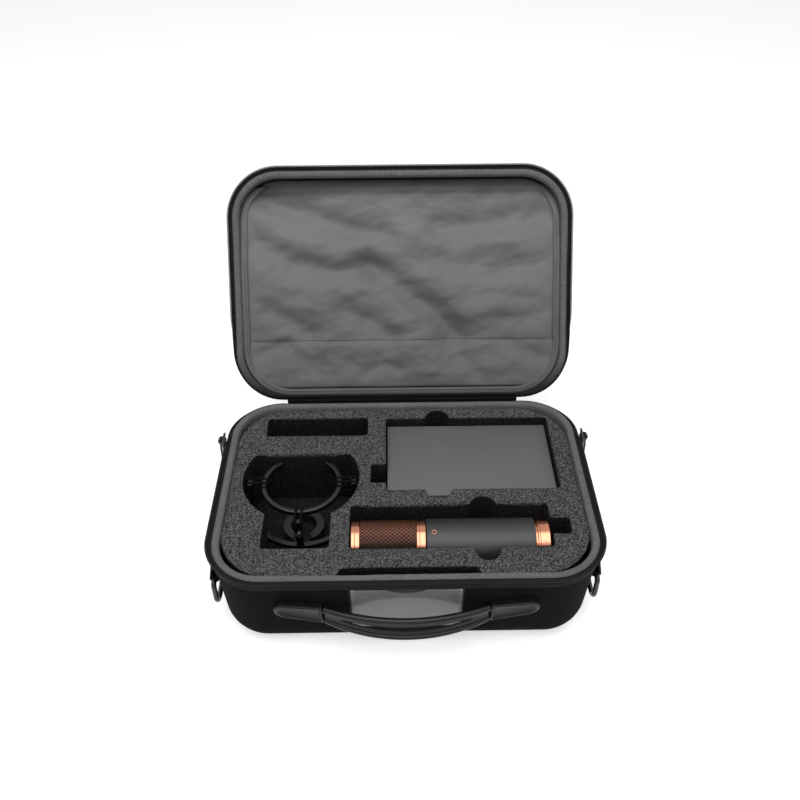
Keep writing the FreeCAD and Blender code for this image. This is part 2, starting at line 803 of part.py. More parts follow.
def in_blocks(label, body, low, thick, ledge):
    """A foam layer comes in butted blocks; the middle one in front starts at the ledge."""
    wall, half = dim.shell_depth / 2, dim.shell_width / 2
    slot_left, slot_right = dim.front_slot_offset - slot_half, dim.front_slot_offset + slot_half
    back_seam = mount_y + flat - dim.overrun
    plans = (
        (-half, slot_left, -wall, mic_y), (slot_left, slot_right, ledge, mic_y), (slot_right, half, -wall, mic_y),
        (-half, half, mic_y, back_seam), (-half, half, back_seam, wall),
    )
    blocks = []
    for k, plan in enumerate(plans):
        tool = doc.addObject("PartDesign::Body", f"{label}_tool_{k}")
        drawing = Drawing(tool, "block_plan", level=low - dim.overrun).path(box_outline(*plan))
        pad(tool, "block", drawing.done(), thick + 2 * dim.overrun)
        block = doc.addObject("Part::Common", f"{label}_block_{k}")
        block.Base, block.Tool = body, tool
        blocks.append(block)
    group(label, blocks)


in_blocks("foam_insert", insert, sheet_low, dim.foam_sheet, foam_front + dim.front_slot_depth)
in_blocks("foam_bed", bed, floor_top, bed_thick, -dim.shell_depth / 2)


# Card holder: a backing sewn to the front wall and a clear sheet with a thumb cut-out over it.
backing = new_piece("card_backing")
backing_half = dim.card_width / 2 + dim.card_margin
backing_plan = Drawing(backing, "backing_plan", "XZ_Plane")
backing_plan.path(box_outline(-backing_half, backing_half, -dim.card_height - dim.card_margin, 0 * backing_half))
pad(backing, "backing", backing_plan.done(), dim.card_sheet)
place_on_front(backing)

window = new_piece("card_window")
thumb_half = dim.thumb_width / 2
window_plan = Drawing(window, "window_plan", "XZ_Plane", dim.card_sheet)
window_plan.path([
    (-dim.card_width / 2, -dim.card_height),
    (dim.card_width / 2, -dim.card_height),
    (dim.card_width / 2, 0 * thumb_half),
    (thumb_half, 0 * thumb_half),
    (-thumb_half, 0 * thumb_half, bow_radius(dim.thumb_width, dim.thumb_depth), -1),
    (-dim.card_width / 2, 0 * thumb_half),
])
pad(window, "sheet", window_plan.done(), dim.card_sheet)
place_on_front(window)


# Handle: two moulded plates fixed to the wall, and a bowed grip between them.
handle_mid = -dim.handle_drop - dim.handle_height / 2


def handle_tab(side, name):
    body = new_piece(f"handle_tab_{name}")
    seam, tip = side * dim.handle_span / 2, side * (dim.handle_span / 2 + dim.tab_length)

    def plate(inset):
        high, end = dim.handle_height / 2 - inset, dim.tab_end_height / 2 - inset
        bend, point = tip - side * dim.tab_end_height / 2, tip - side * inset
        start, end_mid = seam + side * inset, handle_mid + dim.tab_rise
        return [
            (start, handle_mid + high), (start, handle_mid - high), (bend, end_mid - end),
            (point, end_mid, end, side), (bend, end_mid + end, end, side),
        ]

    pad(body, "plate", Drawing(body, "plate_plan", "XZ_Plane").path(plate(no_inset)).done(), dim.tab_thick)
    recess = Drawing(body, "recess_plan", "XZ_Plane", dim.tab_thick).path(plate(dim.tab_lip)).done()
    pocket(body, "recess", recess, dim.tab_recess)
    place_on_front(body)
    return body


for side, name in ((-1, "left"), (1, "right")):
    handle_tab(side, name)

grip = new_piece("handle_grip")
grip_half = dim.handle_span / 2 - dim.handle_gap
grip_back, grip_face = -dim.grip_stand, -dim.grip_stand - dim.grip_thick


def grip_section(name, drop, bow):
    """Bowed plan of the grip at one level: the lower edge bows further out than the top."""
    bend = bow_radius(2 * grip_half, bow)
    outline = [
        (-grip_half, grip_back, bend, -1), (-grip_half, grip_face),
        (grip_half, grip_face, bend, 1), (grip_half, grip_back),
    ]
    return Drawing(grip, name, level=-drop).path(outline).done()


grip_low = dim.handle_drop + dim.handle_height
loft(grip, "band", [grip_section("top_plan", dim.handle_drop + dim.grip_bead, dim.grip_bow_top),
                    grip_section("low_plan", grip_low, dim.grip_bow_low)])
slot_level = -dim.handle_drop - dim.grip_slot_drop
slot_half = dim.grip_slot_length / 2
slot_plan = Drawing(grip, "slot_plan", "XZ_Plane").path([
    (-slot_half, slot_level, bow_radius(dim.grip_slot_length, dim.grip_slot_rise), 1),
    (slot_half, slot_level, bow_radius(dim.grip_slot_length, dim.grip_slot_dip), 1),
]).done()
pocket(grip, "slot", slot_plan, dim.grip_bow_low + 2 * dim.grip_thick, back=True)
bead_level = -dim.handle_drop - dim.grip_bead
bead_line = (grip_back + grip_face) / 2
bead_path = Drawing(grip, "bead_line", level=bead_level).path([
    (-grip_half, bead_line), (grip_half, bead_line, bow_radius(2 * grip_half, dim.grip_bow_top), 1),
], closed=False).done()
bead_section = Drawing(grip, "bead_section", "YZ_Plane", -grip_half)
bead_section.circle(bead_line, bead_level, dim.grip_bead)
sweep(grip, "bead", bead_section.done(), bead_path)
grip_ends = Drawing(grip, "end_plan", level=0 * grip_half)
for west, east in ((-grip_half - dim.tab_length, -grip_half), (grip_half, grip_half + dim.tab_length)):
    grip_ends.path(box_outline(west, east, grip_face - dim.grip_thick, dim.grip_thick))
pocket(grip, "square_ends", grip_ends.done(), grip_low + dim.overrun)
place_on_front(grip)


# Strap rings: a loop of strap riveted high on each side wall, with a wire ring hanging in it.
loop_bore = dim.ring_wire / 2 + dim.ring_bore_room
loop_outer = loop_bore + dim.ring_loop_wall
loop_level = -dim.ring_drop - dim.ring_tab_height
ring_y = dim.ring_margin - straight_end


def ring_tab(side, name):
    body = new_piece(f"d_ring_tab_{name}")
    start = -ring_y - dim.ring_tab_width / 2
    strap = Drawing(body, "strap_section", "XZ_Plane", start)
    strap.path([(0 * start, loop_level), (side * dim.ring_tab_thick, loop_level),
                (side * dim.ring_tab_thick, -dim.ring_drop), (0 * start, -dim.ring_drop)])
    pad(body, "strap", strap.done(), dim.ring_tab_width)
    loop = Drawing(body, "loop_section", "XZ_Plane", start).circle(side * loop_outer, loop_level, loop_outer)
    pad(body, "loop", loop.done(), dim.ring_tab_width)
    bore = Drawing(body, "bore_section", "XZ_Plane", start).circle(side * loop_outer, loop_level, loop_bore)
    pocket(body, "bore", bore.done(), dim.ring_tab_width, back=True)
    place_on_side(body, side)
    return body


def strap_ring(side, name):
    body = new_piece(f"d_ring_{name}")
    half, low = dim.ring_width / 2, -dim.ring_height
    top, foot = dim.ring_top_corner, dim.ring_corner
    line = [
        (0 * half, 0 * half), (half - top, 0 * half), (half, -top, top, -1), (half, low + foot),
        (half - foot, low, foot, -1), (foot - half, low), (-half, low + foot, foot, -1),
        (-half, -top), (top - half, 0 * half, top, -1),
    ]
    path = Drawing(body, "ring_line", "YZ_Plane").path(line).done()
    section = Drawing(body, "wire_section", "XZ_Plane").circle(0, 0, dim.ring_wire / 2).done()
    sweep(body, "wire", section, path)
    reach = loop_outer * cosine(dim.shell_draft) + loop_level * sine(dim.shell_draft)
    level = loop_level * cosine(dim.shell_draft) - loop_outer * sine(dim.shell_draft)
    place(body, x=side * (dim.shell_width / 2 + reach), y=ring_y, z=wall_top + level)
    return body


def ring_rivet(side, name):
    body = doc.addObject("PartDesign::Body", f"rivet_{name}")
    head = Drawing(body, "head_plan", "YZ_Plane", side * dim.ring_tab_thick)
    head.circle(ring_y, -dim.ring_drop - dim.rivet_drop, dim.rivet_head / 2)
    pad(body, "head", head.done(), dim.rivet_rise, back=side < 0)
    place_on_side(body, side)
    return body


rivets = []
for side, name in ((-1, "left"), (1, "right")):
    ring_tab(side, name)
    strap_ring(side, name)
    rivets.append(ring_rivet(side, name))


group("d_ring_rivets", rivets)


# Cloth pocket in the lid: a slack panel with a bound edge along both sides and the hinge side.
panel_inset = dim.shell_wall + dim.lining_cloth + dim.lining_gap + dim.panel_gap
panel_level = lid_plane - dim.panel_drop
panel_half = dim.shell_width / 2 - panel_inset - dim.panel_edge
panel_low = panel_inset + dim.panel_edge - dim.shell_depth / 2
panel_high = dim.shell_depth / 2 - panel_inset - dim.panel_top_room
station_shares = (0.0, 0.34, 0.68, 1.0)
knot_shares = (-1.0, -0.48, 0.06, 0.55, 1.0)
fold_shares = (
    (0.0, -0.3, 0.4, -0.2, 0.0),
    (0.0, 0.8, -0.5, 0.7, 0.0),
    (0.0, -0.6, 0.9, -0.4, 0.0),
    (0.0, 0.3, -0.3, 0.2, 0.0),
)


def panel_section(body, name, y, folds):
    """One cut across the panel: shallow arcs between the knots, cloth-thick."""
    reach = panel_half + dim.overrun
    knots = [(share * reach, panel_level + fold * dim.panel_fold) for share, fold in zip(knot_shares, folds)]
    under, over = [knots[0]], []
    for k, (start, end) in enumerate(zip(knots, knots[1:])):
        run, rise = end[0] - start[0], end[1] - start[1]
        bend = bow_radius(root(run * run + rise * rise), dim.panel_crease)
        turn = 1 if k % 2 else -1
        under.append((*end, bend, turn))
        over.insert(0, (start[0], start[1] + dim.panel_cloth, bend, -turn))
    corner = (knots[-1][0], knots[-1][1] + dim.panel_cloth)
    return Drawing(body, name, "XZ_Plane", -y).path([*under, corner, *over]).done()


panel_sheet = doc.addObject("PartDesign::Body", "panel_sheet")
sheet_low_edge, sheet_high_edge = panel_low - dim.overrun, panel_high + dim.overrun
loft(panel_sheet, "folds", [
    panel_section(panel_sheet, f"cut_{k}", sheet_low_edge + share * (sheet_high_edge - sheet_low_edge), folds)
    for k, (share, folds) in enumerate(zip(station_shares, fold_shares))
])
panel_plan = doc.addObject("PartDesign::Body", "panel_plan")
outline = rounded(2 * panel_half, panel_high - panel_low, dim.shell_corner - panel_inset - dim.panel_edge,
                  y=(panel_high + panel_low) / 2)
trim = Drawing(panel_plan, "trim_plan", level=0 * panel_half).path(outline).done()
pad(panel_plan, "trim", trim, lid_plane)
panel = doc.addObject("Part::Common", "lid_pocket_panel")
panel.Label = "lid_pocket_panel"
panel.Base = panel_sheet
panel.Tool = panel_plan
pieces.append(panel)
place_on_lid(panel)

edging = new_piece("lid_pocket_binding")
strip = Drawing(edging, "strip_plan", level=panel_level - (dim.panel_edge_thick - dim.panel_cloth) / 2)
strip.path(rim_outline(panel_inset)).path(rim_outline(panel_inset + dim.panel_edge))
pad(edging, "strip", strip.done(), dim.panel_edge_thick)
opening = Drawing(edging, "opening_plan", level=lid_plane)
half = dim.shell_width / 2
opening.path(box_outline(-half, half, straight_end, straight_end + dim.shell_corner))
pocket(edging, "opening", opening.done(), lid_plane)
place_on_lid(edging)


# Microphone, lying along x in its nest: copper rings, woven head, dark body and copper tail.
def turned(label, start, outline):
    """A piece turned about the microphone's axis, from points (along, radius)."""
    body = new_piece(label)
    revolve(body, "turning", Drawing(body, "half_section", "XZ_Plane").path(outline).done())
    place(body, x=mic_x - mic_length / 2 + start, y=mic_y, z=foam_top - dim.mic_diameter / 2)
    return body


def bevelled(length, radius):
    cut = dim.mic_bevel / 2
    return [(0 * length, 0 * length), (length, 0 * length), (length, radius - cut), (length - cut, radius),
            (cut, radius), (0 * length, radius - cut)]


mic_radius = dim.mic_diameter / 2
grille_start = dim.mic_head_length
collar_start = grille_start + dim.mic_grille_length
body_start = collar_start + dim.mic_collar_length
tail_start = body_start + dim.mic_body_length
turned("mic_head_ring", 0 * mic_radius, bevelled(dim.mic_head_length, mic_radius))
mesh_outer = dim.mic_grille_diameter / 2
turned("mic_grille", grille_start, [
    (0 * mesh_outer, mesh_outer - dim.mic_grille_wall), (dim.mic_grille_length, mesh_outer - dim.mic_grille_wall),
    (dim.mic_grille_length, mesh_outer), (0 * mesh_outer, mesh_outer),
])
turned("mic_collar", collar_start, bevelled(dim.mic_collar_length, mic_radius))
turned("mic_body", body_start, bevelled(dim.mic_body_length, mic_radius))
tail_radius, neck, socket = dim.mic_tail_diameter / 2, dim.mic_neck_diameter / 2, dim.mic_socket_diameter / 2
tail_end, socket_floor = dim.mic_tail_length, dim.mic_tail_length - dim.mic_socket_depth
turned("mic_tail", tail_start, [
    (0 * neck, 0 * neck), (socket_floor, 0 * neck), (socket_floor, socket), (tail_end, socket),
    (tail_end, tail_radius - dim.mic_bevel), (tail_end - dim.mic_bevel, tail_radius),
    (dim.mic_neck_length, tail_radius), (dim.mic_neck_length, neck), (0 * neck, neck),
])
insert_radius = socket - dim.mic_insert_fit
connector = turned("mic_connector", tail_start + socket_floor, [
    (0 * neck, 0 * neck), (dim.mic_insert_thick, 0 * neck), (dim.mic_insert_thick, insert_radius),
    (0 * neck, insert_radius),
])
pin_plan = Drawing(connector, "pin_plan", "YZ_Plane", dim.mic_insert_thick)
pin_plan.circle(0, dim.mic_pin_circle / 2, dim.mic_pin_diameter / 2)
pin_sketch = pin_plan.done()
pin = pad(connector, "pin", pin_sketch, dim.mic_pin_length - dim.mic_insert_thick)
doc.recompute()
pins = connector.newObject("PartDesign::PolarPattern", "pins")
pins.Originals = [pin]
pins.Axis = (pin_sketch, ["N_Axis"])
pins.Occurrences = 3
connector.Tip = pins


# Shock mount: a half ring with three arms, and an open cradle ring slung on elastic bands.
cradle_top = foam_top - dim.cradle_drop
frame_low = foam_top - dim.frame_drop - dim.frame_tall
arm_middle = (dim.frame_outer + dim.frame_inner) / 4
arm_in, arm_out = arm_middle - dim.arm_thick / 2, arm_middle + dim.arm_thick / 2
arm_half = dim.arm_width / 2

cradle = new_piece("mount_cradle")
wide, slim = dim.cradle_outer / 2, dim.cradle_inner / 2
mouth_x, mouth_y = sine(dim.cradle_mouth_angle / 2), cosine(dim.cradle_mouth_angle / 2)
cradle_plan = Drawing(cradle, "cradle_plan", level=cradle_top - dim.cradle_tall).path([
    (wide * mouth_x, wide * mouth_y), (wide, 0 * wide, wide, -1), (0 * wide, -wide, wide, -1),
    (-wide, 0 * wide, wide, -1), (-wide * mouth_x, wide * mouth_y, wide, -1),
    (-slim * mouth_x, slim * mouth_y), (-slim, 0 * slim, slim, 1), (0 * slim, -slim, slim, 1),
    (slim, 0 * slim, slim, 1), (slim * mouth_x, slim * mouth_y, slim, 1),
]).done()
pad(cradle, "ring", cradle_plan, dim.cradle_tall)

frame = new_piece("mount_frame")
frame_plan = Drawing(frame, "frame_plan", level=frame_low)
frame_plan.circle(0, 0, dim.frame_outer / 2).circle(0, 0, dim.frame_inner / 2)
pad(frame, "ring", frame_plan.done(), dim.frame_tall)
open_back = Drawing(frame, "open_back_plan", level=frame_low + dim.frame_tall)
open_back.path(box_outline(-dim.frame_outer / 2, dim.frame_outer / 2, arm_half, dim.frame_outer / 2))
pocket(frame, "open_back", open_back.done(), dim.frame_tall)
arms = Drawing(frame, "arm_plan", level=frame_low)
arms.path(box_outline(-arm_out, -arm_in, -arm_half, arm_half))
arms.path(box_outline(arm_in, arm_out, -arm_half, arm_half))
arms.path(box_outline(-arm_half, arm_half, -arm_out, -arm_in))
pad(frame, "arms", arms.done(), cradle_top - frame_low)
foot_half = dim.foot_width / 2
disc_front = -dim.disc_offset - dim.disc_inner / 2
foot = Drawing(frame, "foot_plan", level=frame_low)
foot.path(box_outline(-foot_half, foot_half, -arm_middle, disc_front))
pad(frame, "foot", foot.done(), dim.foot_tall, back=True)

disc = new_piece("mount_base")
disc_low = floor_top + dim.mic_floor_gap
disc_plan = Drawing(disc, "disc_plan", level=disc_low)
disc_plan.circle(0, -dim.disc_offset, dim.disc_outer / 2).circle(0, -dim.disc_offset, dim.disc_inner / 2)
pad(disc, "disc", disc_plan.done(), frame_low - dim.foot_tall - disc_low)

screw = new_piece("mount_screw")
screw_plan = Drawing(screw, "head_plan", "XZ_Plane", arm_out)
screw_plan.circle(0, (cradle_top + frame_low + dim.frame_tall) / 2, dim.mount_screw_head / 2)
pad(screw, "head", screw_plan.done(), dim.mount_screw_rise)
for item in (cradle, frame, disc, screw):
    place(item, x=mount_x, y=mount_y)

bands = []
band_level = cradle_top - dim.cradle_tall / 2
band_length = arm_in - wide - 2 * dim.band_gap
for across, along in ((-1, 0), (1, 0), (0, -1)):
    for spread in (-1, 1):
        band = doc.addObject("Part::Cylinder", "band")
        bind(band, "Radius", dim.band_wire / 2)
        bind(band, "Height", band_length)
        start = wide + dim.band_gap
        aside = spread * dim.band_spread / 2
        turn = (0, across, 0) if across else (1, 0, 0)
        place(band, x=mount_x + across * start + abs(along) * aside,
              y=mount_y + along * start + abs(across) * aside,
              z=band_level, axis=turn, angle=dim.square_angle)
        bands.append(band)
group("mount_elastics", bands)


# Carton: a tray of board and a shallow lid over it.
carton_top = foam_top - dim.carton_drop
sleeve = dim.carton_board + dim.carton_fit
tray = new_piece("carton_tray")
tray_low = carton_top - dim.carton_height
tray_width, tray_depth = dim.carton_width - 2 * sleeve, dim.carton_depth - 2 * sleeve
tray_height = dim.carton_height - dim.carton_board
tray_plan = Drawing(tray, "tray_plan", level=tray_low)
pad(tray, "block", tray_plan.path(centred(0, 0, tray_width, tray_depth)).done(), tray_height)
tray_mouth = Drawing(tray, "mouth_plan", level=tray_low + tray_height)
tray_mouth.path(centred(0, 0, tray_width - 2 * dim.carton_board, tray_depth - 2 * dim.carton_board))
pocket(tray, "inside", tray_mouth.done(), tray_height - dim.carton_board)

cover = new_piece("carton_lid")
cover_plan = Drawing(cover, "cover_plan", level=carton_top)
pad(cover, "block", cover_plan.path(centred(0, 0, dim.carton_width, dim.carton_depth)).done(),
    dim.carton_skirt, back=True)
cover_mouth = Drawing(cover, "mouth_plan", level=carton_top - dim.carton_skirt)
cover_mouth.path(centred(0, 0, dim.carton_width - 2 * dim.carton_board, dim.carton_depth - 2 * dim.carton_board))
pocket(cover, "inside", cover_mouth.done(), dim.carton_skirt - dim.carton_board, back=True)
for item in (tray, cover):
    place(item, x=carton_x, y=carton_y)


doc.recompute()
failed = [item.Name for item in doc.Objects if "Invalid" in item.State or "Error" in item.State]
if failed:
    raise RuntimeError(f"features that failed: {failed}")
for piece in pieces:
    if piece.Shape.isNull() or not piece.Shape.isValid():
        raise RuntimeError(f"{piece.Label} has no valid shape")
os.makedirs("parts", exist_ok=True)
for piece in pieces:
    piece.Shape.exportStep(os.path.join("parts", f"{piece.Label}.step"))
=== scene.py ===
import math
import bmesh
import bpy
from mathutils import Matrix, Vector, noise


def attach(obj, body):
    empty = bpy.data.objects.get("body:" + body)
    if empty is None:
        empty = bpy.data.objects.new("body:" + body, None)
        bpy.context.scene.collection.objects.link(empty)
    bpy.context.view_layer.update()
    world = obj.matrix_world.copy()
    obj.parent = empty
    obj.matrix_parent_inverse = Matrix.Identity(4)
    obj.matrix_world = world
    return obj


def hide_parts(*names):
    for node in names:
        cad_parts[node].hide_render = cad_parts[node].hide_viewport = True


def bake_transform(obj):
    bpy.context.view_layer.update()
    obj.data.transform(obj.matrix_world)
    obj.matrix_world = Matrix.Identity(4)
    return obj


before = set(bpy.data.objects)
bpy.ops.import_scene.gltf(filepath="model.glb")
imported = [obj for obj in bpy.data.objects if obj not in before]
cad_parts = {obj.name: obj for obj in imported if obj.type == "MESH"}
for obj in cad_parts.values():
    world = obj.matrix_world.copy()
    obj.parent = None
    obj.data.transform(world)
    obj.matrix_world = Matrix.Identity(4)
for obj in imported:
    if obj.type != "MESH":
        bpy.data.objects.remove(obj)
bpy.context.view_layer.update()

# Shells: the base and the lid, two tubs of pressed foam board under black polyester cloth.
# Cloth and board are pressed together, so the walls run into the round floor edge with no seam.
# A straight band at each rim carries the binding and the zip.
shell_width, shell_depth, shell_corner, shell_wall = 311, 210, 43, 5
base_height, base_bend, lid_height, lid_bend = 88.5, 26, 38, 22
rim_band, wall_draft, lid_turn = 8.5, math.radians(4), math.radians(58)
wall_slope = math.tan(wall_draft)
core_x, core_y = shell_width / 2 - shell_corner, shell_depth / 2 - shell_corner
hinge_line, closing_level, lid_level = 107, 92, 41.5
lid_pose = (Matrix.Translation((0, hinge_line, closing_level)) @ Matrix.Rotation(lid_turn, 4, "X")
            @ Matrix.Translation((0, hinge_line, -lid_level)))
long_side, corner_steps = 20, 14


class Signal:
    """A shader socket: sums and products of it add Math nodes."""

    def __init__(self, finish, socket):
        self.finish, self.socket = finish, socket

    def maths(self, operation, *terms):
        return self.finish.node("ShaderNodeMath", {"operation": operation}, dict(enumerate(terms)))

    def __add__(self, other):
        return self.maths("ADD", self, other)

    def __sub__(self, other):
        return self.maths("SUBTRACT", self, other)

    def __rsub__(self, other):
        return self.maths("SUBTRACT", other, self)

    def __mul__(self, other):
        return self.maths("MULTIPLY", self, other)

    def __abs__(self):
        return self.maths("ABSOLUTE", self)

    def __gt__(self, other):
        return self.maths("GREATER_THAN", self, other)

    def wave(self):
        return self.maths("SINE", self)

    def between(self, low, high):
        return self.finish.node("ShaderNodeMapRange", {"clamp": True, "interpolation_type": "SMOOTHSTEP"},
                                {"Value": self, "From Min": low, "From Max": high})

    __radd__, __rmul__ = __add__, __mul__


class Finish:
    """A material: constants sit on its shader, and what changes over the surface is linked to it."""

    def __init__(self, name, **constants):
        self.material = bpy.data.materials.new(name)
        self.material.use_nodes = True
        self.tree = self.material.node_tree
        self.shader = self.tree.nodes["Principled BSDF"]
        for socket, value in constants.items():
            self.shader.inputs[socket.replace("_", " ").title().replace("Ior", "IOR")].default_value = value

    def node(self, kind, settings, sockets, output=0):
        made = self.tree.nodes.new(kind)
        for name, value in settings.items():
            setattr(made, name, value)
        for name, value in sockets.items():
            if isinstance(value, Signal):
                self.tree.links.new(value.socket, made.inputs[name])
            else:
                made.inputs[name].default_value = value
        if isinstance(output, tuple):
            return [Signal(self, made.outputs[k]) for k in output]
        return Signal(self, made.outputs[output])

    def drive(self, socket, signal):
        self.tree.links.new(signal.socket, self.shader.inputs[socket])

    def at(self):
        return self.node("ShaderNodeTexCoord", {}, {}, "Object")

    def place(self):
        return self.node("ShaderNodeSeparateXYZ", {}, {0: self.at()}, (0, 1, 2))

    def attribute(self, name):
        return self.node("ShaderNodeAttribute", {"attribute_name": name}, {}, "Fac")

    def speckle(self, size, detail=3.0, roughness=0.6):
        sockets = {"Vector": self.at(), "Scale": 1000 / size, "Detail": detail, "Roughness": roughness}
        return self.node("ShaderNodeTexNoise", {}, sockets, "Fac")

    def tone(self, factor, low, high):
        colours = {0: factor, 6: (*low, 1), 7: (*high, 1)}
        self.drive("Base Color", self.node("ShaderNodeMix", {"data_type": "RGBA"}, colours, 2))

    def relief(self, height, depth, strength):
        bump = {"Height": height, "Distance": depth / 1000, "Strength": strength}
        self.drive("Normal", self.node("ShaderNodeBump", {}, bump))


def weave(finish, pitch):
    """Height of a plain weave of that thread pitch, on faces of any direction."""
    x, y, z = finish.place()
    turn = 2000 * math.pi / pitch
    return (((x + y) * turn).wave() * ((z + (x - y) * 0.6) * turn).wave()) * 0.5 + 0.5


def rounded(bm, geom, radius, segments, affect="VERTICES"):
    """Rounds the corners of a sheet, or the edges of a block."""
    bmesh.ops.bevel(bm, geom=geom, offset=radius, offset_type="OFFSET", affect=affect, segments=segments,
                    profile=0.5, material=-1)


def flat_sheet(bm, wide, deep):
    """A four-sided sheet about the origin, given by its corners."""
    corners = bmesh.ops.create_grid(bm, x_segments=1, y_segments=1, size=0.5)["verts"]
    bmesh.ops.scale(bm, vec=(wide, deep, 1), verts=corners)
    return corners


def bare_loop(bm, known, cuts=0):
    """The edges of a sheet that isn't among the known ones: its face goes, and its long sides are cut up."""
    faces = {face for edge in bm.edges if edge not in known for face in edge.link_faces}
    bmesh.ops.delete(bm, geom=list(faces), context="FACES_ONLY")
    if cuts:
        longs = [edge for edge in bm.edges if edge not in known and edge.calc_length() > long_side]
        bmesh.ops.subdivide_edges(bm, edges=longs, cuts=cuts)
    return [edge for edge in bm.edges if edge not in known]


def verts_in(geom):
    return [part for part in geom if isinstance(part, bmesh.types.BMVert)]


def core_point(vert, level):
    """The point of the shell's straight core that the rim turns about at this vertex."""
    return Vector((min(max(vert.co.x, -core_x), core_x), min(max(vert.co.y, -core_y), core_y), level))


def ring_walls(bm, profile, cuts=0):
    """Walls that follow the rim through the given insets and levels."""
    inset, level = profile[0]
    known = set(bm.edges)
    corners = flat_sheet(bm, shell_width - 2 * inset, shell_depth - 2 * inset)
    bmesh.ops.translate(bm, vec=(0, 0, level), verts=corners)
    rounded(bm, corners, shell_corner - inset, corner_steps)
    loops = [bare_loop(bm, known, cuts)]
    for inset, level in profile[1:]:
        grown = bmesh.ops.extrude_edge_only(bm, edges=loops[-1])["geom"]
        loops.append([part for part in grown if isinstance(part, bmesh.types.BMEdge)])
        for vert in verts_in(grown):
            core = core_point(vert, level)
            outward = Vector((vert.co.x - core.x, vert.co.y - core.y, 0)).normalized()
            vert.co = core + outward * (shell_corner - inset)
    bmesh.ops.remove_doubles(bm, verts=bm.verts, dist=0.0005)
    return loops


def piece(name, bm, finish, body, stands_for=(), pose=None, sharp=40):
    """Turns a mesh drawn in millimetres into an object of the scene."""
    if pose:
        bmesh.ops.transform(bm, matrix=pose, verts=bm.verts)
    bmesh.ops.scale(bm, vec=(0.001, 0.001, 0.001), verts=bm.verts)
    mesh = bpy.data.meshes.new(name)
    bm.to_mesh(mesh)
    bm.free()
    made = bpy.data.objects.new(name, mesh)
    bpy.context.collection.objects.link(made)
    mesh.materials.append(finish.material)
    mesh.shade_smooth()
    mesh.set_sharp_from_angle(angle=math.radians(sharp))
    if stands_for:
        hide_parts(*stands_for)
    if body:
        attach(made, body)
    return made


def faces_out(bm):
    """Points every face outwards."""
    bmesh.ops.recalc_face_normals(bm, faces=bm.faces)


def floor_bend(inset, level, radius, steps):
    """The quarter round that takes a wall into the floor."""
    turns = [math.radians(90 * step / steps) for step in range(steps + 1)]
    return [(inset + radius * (1 - math.cos(turn)), level + radius * (1 - math.sin(turn))) for turn in turns]


def tub(name, height, bend, body, node, pose=None):
    """One shell, open at its rim, from the middle of its inner floor over the rim and under."""
    slope = wall_slope * (height - rim_band - bend)
    inner = [(slope + bend, shell_wall), (shell_wall + slope, bend), (shell_wall, height - rim_band),
             (shell_wall, height)]
    outer = [(0, height), (0, height - rim_band)] + floor_bend(slope, 0, bend, 9)
    bm = bmesh.new()
    loops = ring_walls(bm, inner + outer)
    bmesh.ops.edgeloop_fill(bm, edges=loops[0])
    bmesh.ops.edgeloop_fill(bm, edges=loops[-1])
    faces_out(bm)
    piece(name, bm, shell_cloth, body, [node], pose)


shell_cloth = Finish("shell cloth", roughness=0.85, specular_ior_level=0.06)
threads = weave(shell_cloth, 1.1)
lint = shell_cloth.speckle(38, 4)
shell_cloth.tone(threads * 0.6 + lint * 0.5 - 0.2, (0.003, 0.003, 0.0034), (0.011, 0.011, 0.012))
shell_cloth.relief(threads + shell_cloth.speckle(0.7) * 0.5, 0.25, 0.7)
tub("base_tub", base_height, base_bend, "base", "base_shell")
tub("lid_tub", lid_height, lid_bend, "lid", "lid_shell", lid_pose)

# Linings: thin grey cloth glued inside both tubs, seen in the lid between the pocket and the rim.
# The cloth gathers in small puckers where it goes round the corners.
lining_cloth = Finish("lining cloth", roughness=0.85, specular_ior_level=0.12)
threads = weave(lining_cloth, 0.9)
lint = lining_cloth.speckle(14, 4)
lining_cloth.tone(lint * 0.7 + threads * 0.3, (0.04, 0.04, 0.042), (0.075, 0.075, 0.078))
lining_cloth.relief(threads, 0.15, 0.6)
glue_line, lining_thick, pucker_depth, pucker_turn = 0.2, 0.6, 1.3, 1.15
pucker_x, pucker_y, pucker_spread = 100, 50, 2000


def way_round(bm):
    """Keeps each vertex's distance along the rim, for ribs and puckers that follow it."""
    along = bm.verts.layers.float.new("along")
    for vert in bm.verts:
        x, y = abs(vert.co.x), abs(vert.co.y)
        turn = math.atan2(max(x - core_x, 0), max(y - core_y, 1e-6))
        vert[along] = min(x, core_x) + shell_corner * turn + core_y - min(y, core_y)
    return along


def thicken(made, thickness):
    """Gives a sheet its thickness, half of it to each side."""
    wall = made.modifiers.new("thickness", "SOLIDIFY")
    wall.thickness, wall.offset = thickness / 1000, 0


def lining(name, height, bend, body, node, pose=None):
    """The cloth of one tub, from just under its rim to its floor."""
    slope = wall_slope * (height - rim_band - bend)
    inside = shell_wall + glue_line
    profile = [(inside, height - 1), (inside, height - 5), (inside, height - rim_band)]
    profile += floor_bend(inside + slope, inside, bend - shell_wall, 7)
    bm = bmesh.new()
    loops = ring_walls(bm, profile, cuts=30)
    bmesh.ops.edgeloop_fill(bm, edges=loops[-1])
    faces_out(bm)
    along = way_round(bm)
    for vert in bm.verts:
        corner = max(abs(vert.co.x) - pucker_x, 0) * max(abs(vert.co.y) - pucker_y, 0) / pucker_spread
        pucker = 0.5 + 0.5 * math.sin(vert[along] * pucker_turn + 1.5 * noise.noise(vert.co * 0.12))
        outward = Vector((vert.co.x, vert.co.y, 0)).normalized()
        vert.co -= outward * (0.25 + min(corner, 1) * pucker_depth * pucker)
    thicken(piece(name, bm, lining_cloth, body, [node], pose), lining_thick)


lining("base_liner", base_height, base_bend, "base", "base_lining")
lining("lid_liner", lid_height, lid_bend, "lid", "lid_lining", lid_pose)

